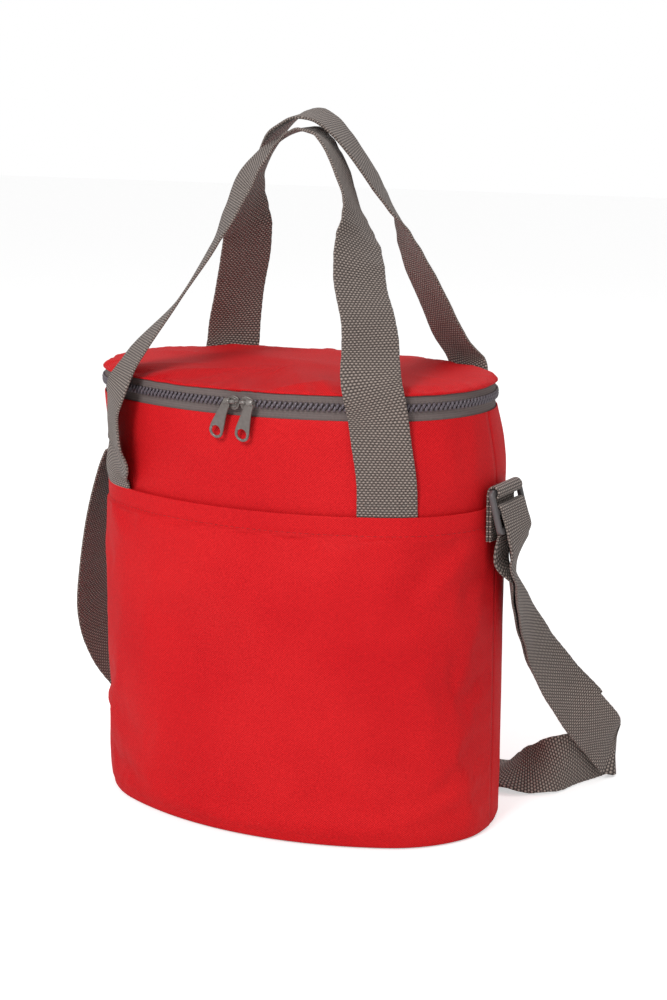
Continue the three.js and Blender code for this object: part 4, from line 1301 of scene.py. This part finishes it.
STRAP_PATH = [
    near_bar(14, -NEAR_LEG),
    near_bar(3, -NEAR_LEG),
    near_bar(-1.2, -NEAR_LEG),
    near_bar(-3.2, -2.4),
    near_bar(-3.95, 0),
    near_bar(-3.2, 2.4),
    near_bar(-1.2, NEAR_LEG),
    near_bar(3, NEAR_LEG),
    near_bar(15, NEAR_LEG + 0.5),
    (157.3, 2, 194, -0.15, 0.98, 0.05),
    (150.5, 9, 178, -0.47, 0.76, 0.44),
    (147.5, 21, 160, -0.4, 0.75, 0.52),
    (147, 41, 135, -0.23, 0.79, 0.57),
    (150, 60, 109, -0.02, 0.81, 0.58),
    (158, 81, 80, 0.17, 0.77, 0.61),
    (169, 100, 54, 0.35, 0.62, 0.7),
    (174.5, 118, 36, 0.3, 0.35, 0.88),
    (176, 132, 22, 0.05, 0.05, 1),
    (177.5, 136.5, 20.5, 0, 0, 1),
    (174, 138.5, 20, 0, 0, 1),
    (167, 121, 20, 0, 0, 1),
    (155, 95, 19.8, 0.05, 0.3, 0.95),
    (137, 84, 14.6, -0.1, 0.7, 0.7),
    (119, 81, 12.2, 0, 0.92, 0.38),
    (98, 92, 6, 0.3, 0.94, 0.08),
    (50, 110, 1.8, 0.1, 1, -0.02),
    (0, 114, 1.4, 0, 1, 0),
    (-50, 112, 1.8, 0.08, 1, 0),
    (-92, 104, 5, 0.2, 0.98, 0.05),
    (-131, 90, 12, 0.3, 0.9, 0.3),
    (-157, 72, 22, 0.32, 0.85, 0.4),
    (-171, 50, 46, 0.3, 0.82, 0.45),
    (-179, 32, 68, 0.2, 0.84, 0.5),
    (-182.5, 18, 90, 0.1, 0.87, 0.48),
    (-182, 8, 114, 0.05, 0.93, 0.35),
    (-177, 4, 148, 0, 0.98, 0.2),
    (-169, 2, 182, 0, 1, 0.05),
    (-160.5, 0.5, 208, 0, 1, 0),
    (-153.5, 0, 226, 0, 1, 0),
    (-148.5, 0, 234, 0, 1, 0),
    (-144.2, 0, 231, 0, 1, 0),
    (-SIDE_LEG, 0, 224.2, 0, 1, 0),
]


def under_strap(i):
    """A control row of the strap moved under it and a little past its outer edge."""
    rows = np.array(STRAP_PATH[i - 1 : i + 2], float)
    along = rows[2, :3] - rows[0, :3]
    along /= np.linalg.norm(along)
    way = rows[1, 3:] - along * np.dot(rows[1, 3:], along)
    way /= np.linalg.norm(way)
    place = rows[1, :3] - TAIL_OFFSET * np.cross(along, way) + TAIL_OFFSET * way
    return (*place, *rows[1, 3:])


TAIL_PATH = [near_bar(15.2, -NEAR_LEG), (149, 0.5, 194, 0, 1, 0)]
TAIL_PATH += [under_strap(i) for i in range(10, 16)]


def loop_path():
    """The short tape sewn to the right side, which goes up over the adjuster's top bar and back down."""
    rows = [(SIDE_LEG, 0, z, 0, 1, 0) for z in (LOOP_BOTTOM, 208, 218)]
    for degrees in (180, 140, 100, 60, 20, -20, -65, -110):
        a = math.radians(degrees)
        x = ADJUSTER_TOP[0] + LOOP_RADIUS * math.cos(a)
        z = ADJUSTER_TOP[1] + LOOP_RADIUS * math.sin(a)
        rows.append((x, 0, z, 0, 1, 0))
    rows += [(145.1, 0, z, 0, 1, 0) for z in (219, 208, LOOP_BOTTOM)]
    return rows


def build_adjuster():
    """Moulded three-bar slide with rounded bars."""
    depth = 2 * ADJUSTER_PITCH + ADJUSTER_BAR
    slot_depth = ADJUSTER_PITCH - ADJUSTER_BAR
    outlines = [rounded_outline(0, -ADJUSTER_PITCH, ADJUSTER_WIDTH, depth, 4.0)]
    for k in (0.5, 1.5):
        outlines.append(rounded_outline(0, -k * ADJUSTER_PITCH, ADJUSTER_WIDTH - 7.6, slot_depth, 1.2))
    obj = plate("strap_slide", outlines, ADJUSTER_THICK, 1.15)
    sine, cosine = math.sin(ADJUSTER_LEAN), math.cos(ADJUSTER_LEAN)
    basis = Matrix(((0, -sine, cosine), (1, 0, 0), (0, cosine, sine))).to_4x4()
    place = Matrix.Translation(Vector((ADJUSTER_TOP[0], 0, ADJUSTER_TOP[1])) * MM)
    obj.data.transform(place @ basis)
    finish_piece(obj, "shoulder_strap", BUCKLE_LOOK, "buckle_plastic", "strap_adjuster")


def build_shoulder_strap():
    ribbon = Ribbon(STRAP_PATH, WEBBING, 2.0)
    obj = webbing("shoulder_strap_band", ribbon, STRAP_THICK, curl=0.4)
    finish_piece(obj, "shoulder_strap", WEBBING_LOOK, "grey_webbing", "strap_webbing")
    obj = webbing("shoulder_strap_tail", Ribbon(TAIL_PATH, WEBBING, 2.0), STRAP_THICK, curl=0.3)
    finish_piece(obj, "shoulder_strap", WEBBING_LOOK, "grey_webbing", "strap_tail")

    loop = Ribbon(loop_path(), WEBBING - 0.6, 1.0)
    obj = webbing("adjuster_tape", loop, STRAP_THICK - 0.1)
    finish_piece(obj, None, WEBBING_LOOK, "grey_webbing", "adjuster_loop")
    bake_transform(obj)
    anchor_path = [(-SIDE_LEG, 0, z, 0, 1, 0) for z in (ANCHOR_BOTTOM, 200, STRAP_TOP + 0.4)]
    anchor = Ribbon(anchor_path, WEBBING, 2.0)
    obj = webbing("strap_anchor_tape", anchor, STRAP_THICK)
    finish_piece(obj, None, WEBBING_LOOK, "grey_webbing", "strap_anchor")
    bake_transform(obj)

    outside = 1 if anchor.up[0][0] < 0 else -1
    runs = box_stitch(anchor, 4.0, 26.0, outside * (STRAP_THICK / 2 + 0.05))
    stitches("anchor_stitches", runs, "shell", GREY_THREAD_LOOK, "grey_webbing")
    outside = 1 if loop.up[-1][0] > 0 else -1
    runs = [across_path(loop, loop.reach[-1] - d, 3.0, outside * (STRAP_THICK / 2)) for d in (4.0, 9.0)]
    stitches("loop_stitches", runs, "shell", GREY_THREAD_LOOK, "grey_webbing")


# ---- plates with rounded edges -------------------------------------------------------------------
def rounded_outline(cx, cy, width, height, radius, steps=6):
    points = []
    for sx, sy, start in ((1, -1, -90), (1, 1, 0), (-1, 1, 90), (-1, -1, 180)):
        for i in range(steps + 1):
            a = math.radians(start + 90 * i / steps)
            x = cx + sx * (width / 2 - radius) + radius * math.cos(a)
            y = cy + sy * (height / 2 - radius) + radius * math.sin(a)
            points.append((x, y))
    return points


def plate(name, outlines, thickness, bevel):
    """A flat plate in XY with holes and rounded edges: the first outline is its rim, the others are holes."""
    curve = bpy.data.curves.new(name + "_outline", "CURVE")
    curve.dimensions = "2D"
    curve.fill_mode = "BOTH"
    curve.extrude = (thickness / 2 - bevel) * MM
    curve.bevel_depth = bevel * MM
    curve.bevel_resolution = 3
    curve.offset = -bevel * MM
    for outline in outlines:
        spline = curve.splines.new("POLY")
        spline.points.add(len(outline) - 1)
        for point, (x, y) in zip(spline.points, outline):
            point.co = (x * MM, y * MM, 0, 1)
        spline.use_cyclic_u = True
    source = bpy.data.objects.new(name + "_source", curve)
    bpy.context.scene.collection.objects.link(source)
    graph = bpy.context.evaluated_depsgraph_get()
    mesh = bpy.data.meshes.new_from_object(source.evaluated_get(graph))
    bpy.data.objects.remove(source)
    bpy.data.curves.remove(curve)
    bm = bmesh.new()
    bm.from_mesh(mesh)
    bmesh.ops.remove_doubles(bm, verts=bm.verts, dist=1e-6)
    bmesh.ops.recalc_face_normals(bm, faces=bm.faces)
    bm.to_mesh(mesh)
    bm.free()
    mesh.polygons.foreach_set("use_smooth", [True] * len(mesh.polygons))
    obj = bpy.data.objects.new(name, mesh)
    bpy.context.scene.collection.objects.link(obj)
    return obj


def tube(name, points, radius, sides=10):
    """A round bar along a path, with closed ends."""
    points = np.asarray(points, float)
    verts = []
    faces = []
    for i, centre in enumerate(points):
        ahead = points[min(i + 1, len(points) - 1)] - points[max(i - 1, 0)]
        ahead /= np.linalg.norm(ahead)
        side = np.cross(ahead, [0.0, 0.0, 1.0] if abs(ahead[2]) < 0.9 else [1.0, 0.0, 0.0])
        side /= np.linalg.norm(side)
        up = np.cross(side, ahead)
        for j in range(sides):
            a = 2 * math.pi * j / sides
            verts.append(centre + radius * (math.cos(a) * side + math.sin(a) * up))
    for i in range(len(points) - 1):
        for j in range(sides):
            m = (j + 1) % sides
            faces.append((i * sides + j, i * sides + m, (i + 1) * sides + m, (i + 1) * sides + j))
    faces.append(tuple(range(sides))[::-1])
    faces.append(tuple((len(points) - 1) * sides + j for j in range(sides)))
    return outward(mesh_object(name, verts, faces))


def joined(name, objects):
    """One object from several, each a closed body of its own."""
    bm = bmesh.new()
    for obj in objects:
        bm.from_mesh(obj.data)
        bpy.data.objects.remove(obj)
    mesh = bpy.data.meshes.new(name)
    bm.to_mesh(mesh)
    bm.free()
    mesh.polygons.foreach_set("use_smooth", [True] * len(mesh.polygons))
    obj = bpy.data.objects.new(name, mesh)
    bpy.context.scene.collection.objects.link(obj)
    return obj


# ---- sliders and pulls ---------------------------------------------------------------------------
SLIDER_MEET = 10.0
SLIDER_LENGTH = 10.6
TEETH_OUT = 0.6
CROWN_Z = ZIP_LEVEL + 1.2
CROWN_OUT = 5.0
PULL_LENGTH = 27.0
PULL_WIDTH = 9.6
PULL_ASIDE = {"left": -2.0, "right": 3.2}
PULL_TILT = {"left": math.radians(27), "right": math.radians(21)}


def at_front(obj, x):
    """Turns a piece built round (along, -out, z) onto the front of the oval at this x."""
    turn = math.asin(x / LONG_RADIUS)
    to_centre = Matrix.Translation((0, -LONG_RADIUS * MM, 0))
    back = Matrix.Translation((0, LONG_CENTRE * MM, 0))
    obj.data.transform(back @ Matrix.Rotation(turn, 4, "Z") @ to_centre)
    return obj


def upright(obj, out, z):
    """Stands a plate built in XY up, so that its face looks out and its y is up."""
    stand = Matrix.Rotation(math.radians(90), 4, "X")
    obj.data.transform(Matrix.Translation(Vector((0, -out, z)) * MM) @ stand)
    return obj


def slider_outline(scale, sign):
    """The face of a slider: a round head at the mouth and a narrower tail."""
    points = []
    for i in range(48):
        a = 2 * math.pi * i / 48
        c, sine = math.cos(a), math.sin(a)
        x = SLIDER_LENGTH / 2 * math.copysign(abs(c) ** 0.8, c)
        reach = 4.7 - 1.6 * smooth_step(-1.5, 5.0, x)
        y = float(reach) * math.copysign(abs(sine) ** 0.8, sine)
        points.append((x * scale * sign, y * scale))
    return points if sign > 0 else points[::-1]


def build_slider(side, sign):
    x = SLIDER_MEET + sign * (SLIDER_LENGTH / 2 + 0.2)
    out = TEETH_OUT + 0.4
    face = upright(plate("face", [slider_outline(1.0, sign)], 1.5, 0.6), out + 0.75, ZIP_LEVEL)
    dome = upright(plate("dome", [slider_outline(0.76, sign)], 1.2, 0.5), out + 1.5, ZIP_LEVEL)
    inner = upright(plate("inner", [slider_outline(0.95, sign)], 0.7, 0.2), -TAPE_INSET - 1.4, ZIP_LEVEL)
    post = upright(plate("post", [rounded_outline(-1.6, 0, 5.6, 0.5, 0.2)], 5.4, 0.1), -0.6, ZIP_LEVEL)
    bridge = []
    for i in range(21):
        t = -1 + 2 * i / 20
        lift = CROWN_OUT - 0.1 - (CROWN_OUT - out - 1.4) * abs(t) ** 6
        bridge.append((t * 4.9, -lift, CROWN_Z))
    crown = tube("crown", bridge, 1.05, 12)
    cap_ends = [(-2.0 * sign + reach, -CROWN_OUT - 0.5, CROWN_Z) for reach in (-1.9, 1.9)]
    cap = tube("cap", cap_ends, 1.25, 14)
    obj = at_front(joined(side + "_zip_slider", [face, dome, inner, post, crown, cap]), x)
    finish_piece(obj, side + "_slider", ZIP_METAL_LOOK, "zip_metal", side + "_slider")


def pull_outline():
    """Narrow at the crown, widening to a round end; y runs down from the crown's bar."""
    half = PULL_WIDTH / 2
    centre = -(PULL_LENGTH - half)
    points = []
    for i in range(21):
        a = math.pi + math.pi * i / 20
        points.append((half * math.cos(a), centre + half * math.sin(a)))
    flank = []
    for i in range(1, 9):
        f = i / 8
        width = half + (2.9 - half) * (f * f * (3 - 2 * f)) ** 0.9
        flank.append((width, centre + (-2.6 - centre) * f))
    points += flank
    points += [(2.6, -0.6), (-2.6, -0.6)]
    points += [(-width, y) for width, y in reversed(flank)]
    return points


def build_pull(side, sign):
    x = SLIDER_MEET + sign * (SLIDER_LENGTH / 2 + 0.2) + PULL_ASIDE[side]
    centre = -(PULL_LENGTH - PULL_WIDTH / 2)
    hole = []
    for a in np.linspace(0, 2 * math.pi, 24, endpoint=False):
        hole.append((3.4 * math.cos(a), centre + 0.2 + 3.7 * math.sin(a)))
    tab = upright(plate("tab", [pull_outline(), hole], 1.6, 0.45), CROWN_OUT, CROWN_Z)
    rim = []
    for a in np.linspace(0, 2 * math.pi, 25):
        rim.append((3.85 * math.cos(a), -CROWN_OUT, CROWN_Z + centre + 0.2 + 4.1 * math.sin(a)))
    collar = tube("collar", rim, 0.85, 8)
    sleeve_ring = [(a, 1.72) for a in np.linspace(math.radians(-70), math.radians(250), 20)]
    sleeve = sleeve_mesh("sleeve", sleeve_ring)
    pivot = Matrix.Translation(Vector((0, 0, CROWN_Z)) * MM)
    for piece in (tab, collar):
        piece.data.transform(pivot @ Matrix.Rotation(PULL_TILT[side], 4, "Y") @ pivot.inverted())
    obj = at_front(joined(side + "_zip_pull", [tab, collar, sleeve]), x)
    finish_piece(obj, side + "_pull", ZIP_METAL_LOOK, "zip_metal", side + "_pull")


def sleeve_mesh(name, arc):
    """The rolled top of a pull, round the crown's bar."""
    verts = []
    faces = []
    sections = [(-2.1, 0.30), (-1.9, 0.45), (1.9, 0.45), (2.1, 0.30)]
    for angle, radius in arc:
        for along, half in sections:
            for r in (radius - half, radius + half):
                verts.append((along, -CROWN_OUT + r * math.cos(angle), CROWN_Z + r * math.sin(angle)))
    order = [0, 2, 4, 6, 7, 5, 3, 1]
    for i in range(len(arc) - 1):
        for k in range(8):
            a, b = order[k], order[(k + 1) % 8]
            faces.append((i * 8 + a, i * 8 + b, (i + 1) * 8 + b, (i + 1) * 8 + a))
    faces.append(tuple(order))
    faces.append(tuple((len(arc) - 1) * 8 + k for k in order[::-1]))
    return outward(mesh_object(name, verts, faces))


# ---- everything ----------------------------------------------------------------------------------
def build_bag():
    build_walls()
    build_pocket()
    build_base()
    build_inside()
    build_bindings()
    build_tapes()
    build_teeth()
    build_stops()
    build_hinge_strip()
    build_lid()
    build_handles()
    build_adjuster()
    build_shoulder_strap()
    for side, sign in (("left", -1), ("right", 1)):
        build_slider(side, sign)
        build_pull(side, sign)


# ---- floor, light and camera ---------------------------------------------------------------------
def area_light(name, location, target, size, power):
    light = bpy.data.lights.new(name, "AREA")
    light.shape = "RECTANGLE"
    light.size, light.size_y = size
    light.energy = power
    obj = bpy.data.objects.new(name, light)
    obj.location = location
    obj.rotation_euler = (Vector(target) - Vector(location)).to_track_quat("-Z", "Y").to_euler()
    bpy.context.scene.collection.objects.link(obj)


FLOOR_REACH = 6000


def build_stage():
    corners = [(x * FLOOR_REACH, y * FLOOR_REACH, 0) for x, y in ((-1, -1), (1, -1), (1, 1), (-1, 1))]
    floor = mesh_object("floor", corners, [(0, 1, 2, 3)])
    n = Nodes("floor_paint")
    seen = n.add("ShaderNodeLightPath").outputs["Is Camera Ray"]
    glow = n.math("MULTIPLY", seen, 0.5)
    white = (1.0, 1.0, 1.0, 1.0)
    pale = (0.86, 0.86, 0.86, 1.0)
    paint = n.set(Base_Color=pale, Roughness=0.9, Emission_Color=white, Emission_Strength=glow)
    floor.data.materials.append(paint)
    world = bpy.data.worlds.new("studio")
    world.use_nodes = True
    background = world.node_tree.nodes["Background"]
    seen = world.node_tree.nodes.new("ShaderNodeLightPath").outputs["Is Camera Ray"]
    strength = world.node_tree.nodes.new("ShaderNodeMapRange")
    strength.inputs["To Min"].default_value = 0.54
    strength.inputs["To Max"].default_value = 1.0
    world.node_tree.links.new(seen, strength.inputs["Value"])
    world.node_tree.links.new(strength.outputs["Result"], background.inputs["Strength"])
    background.inputs["Color"].default_value = (1, 1, 1, 1)
    bpy.context.scene.world = world
    area_light("key", (0.0, -1.8, 1.45), (0, 0, 0.2), (0.6, 0.6), 25.0)
    area_light("fill", (1.9, -0.7, 0.8), (0, 0, 0.2), (1.0, 1.0), 1.0)
    area_light("back", (0.2, 1.4, 1.8), (0, 0, 0.3), (1.4, 0.8), 8.0)


CAMERA_AZIMUTH = math.radians(28.89)
CAMERA_REACH = 1.4062
CAMERA_HEIGHT = 0.5076
CAMERA_PITCH = math.radians(11.98)


def build_camera():
    camera = bpy.data.cameras.new("camera")
    camera.lens = 76.1
    camera.sensor_width = 36.0
    camera.shift_x = 0.0327
    obj = bpy.data.objects.new("camera", camera)
    x = CAMERA_REACH * math.sin(CAMERA_AZIMUTH)
    y = -CAMERA_REACH * math.cos(CAMERA_AZIMUTH)
    obj.location = (x, y, CAMERA_HEIGHT)
    ahead = Vector((-x, -y, -CAMERA_REACH * math.tan(CAMERA_PITCH)))
    obj.rotation_euler = ahead.to_track_quat("-Z", "Y").to_euler()
    bpy.context.scene.collection.objects.link(obj)
    bpy.context.scene.camera = obj


build_bag()
build_stage()
build_camera()
bpy.context.scene.view_settings.view_transform = "Standard"
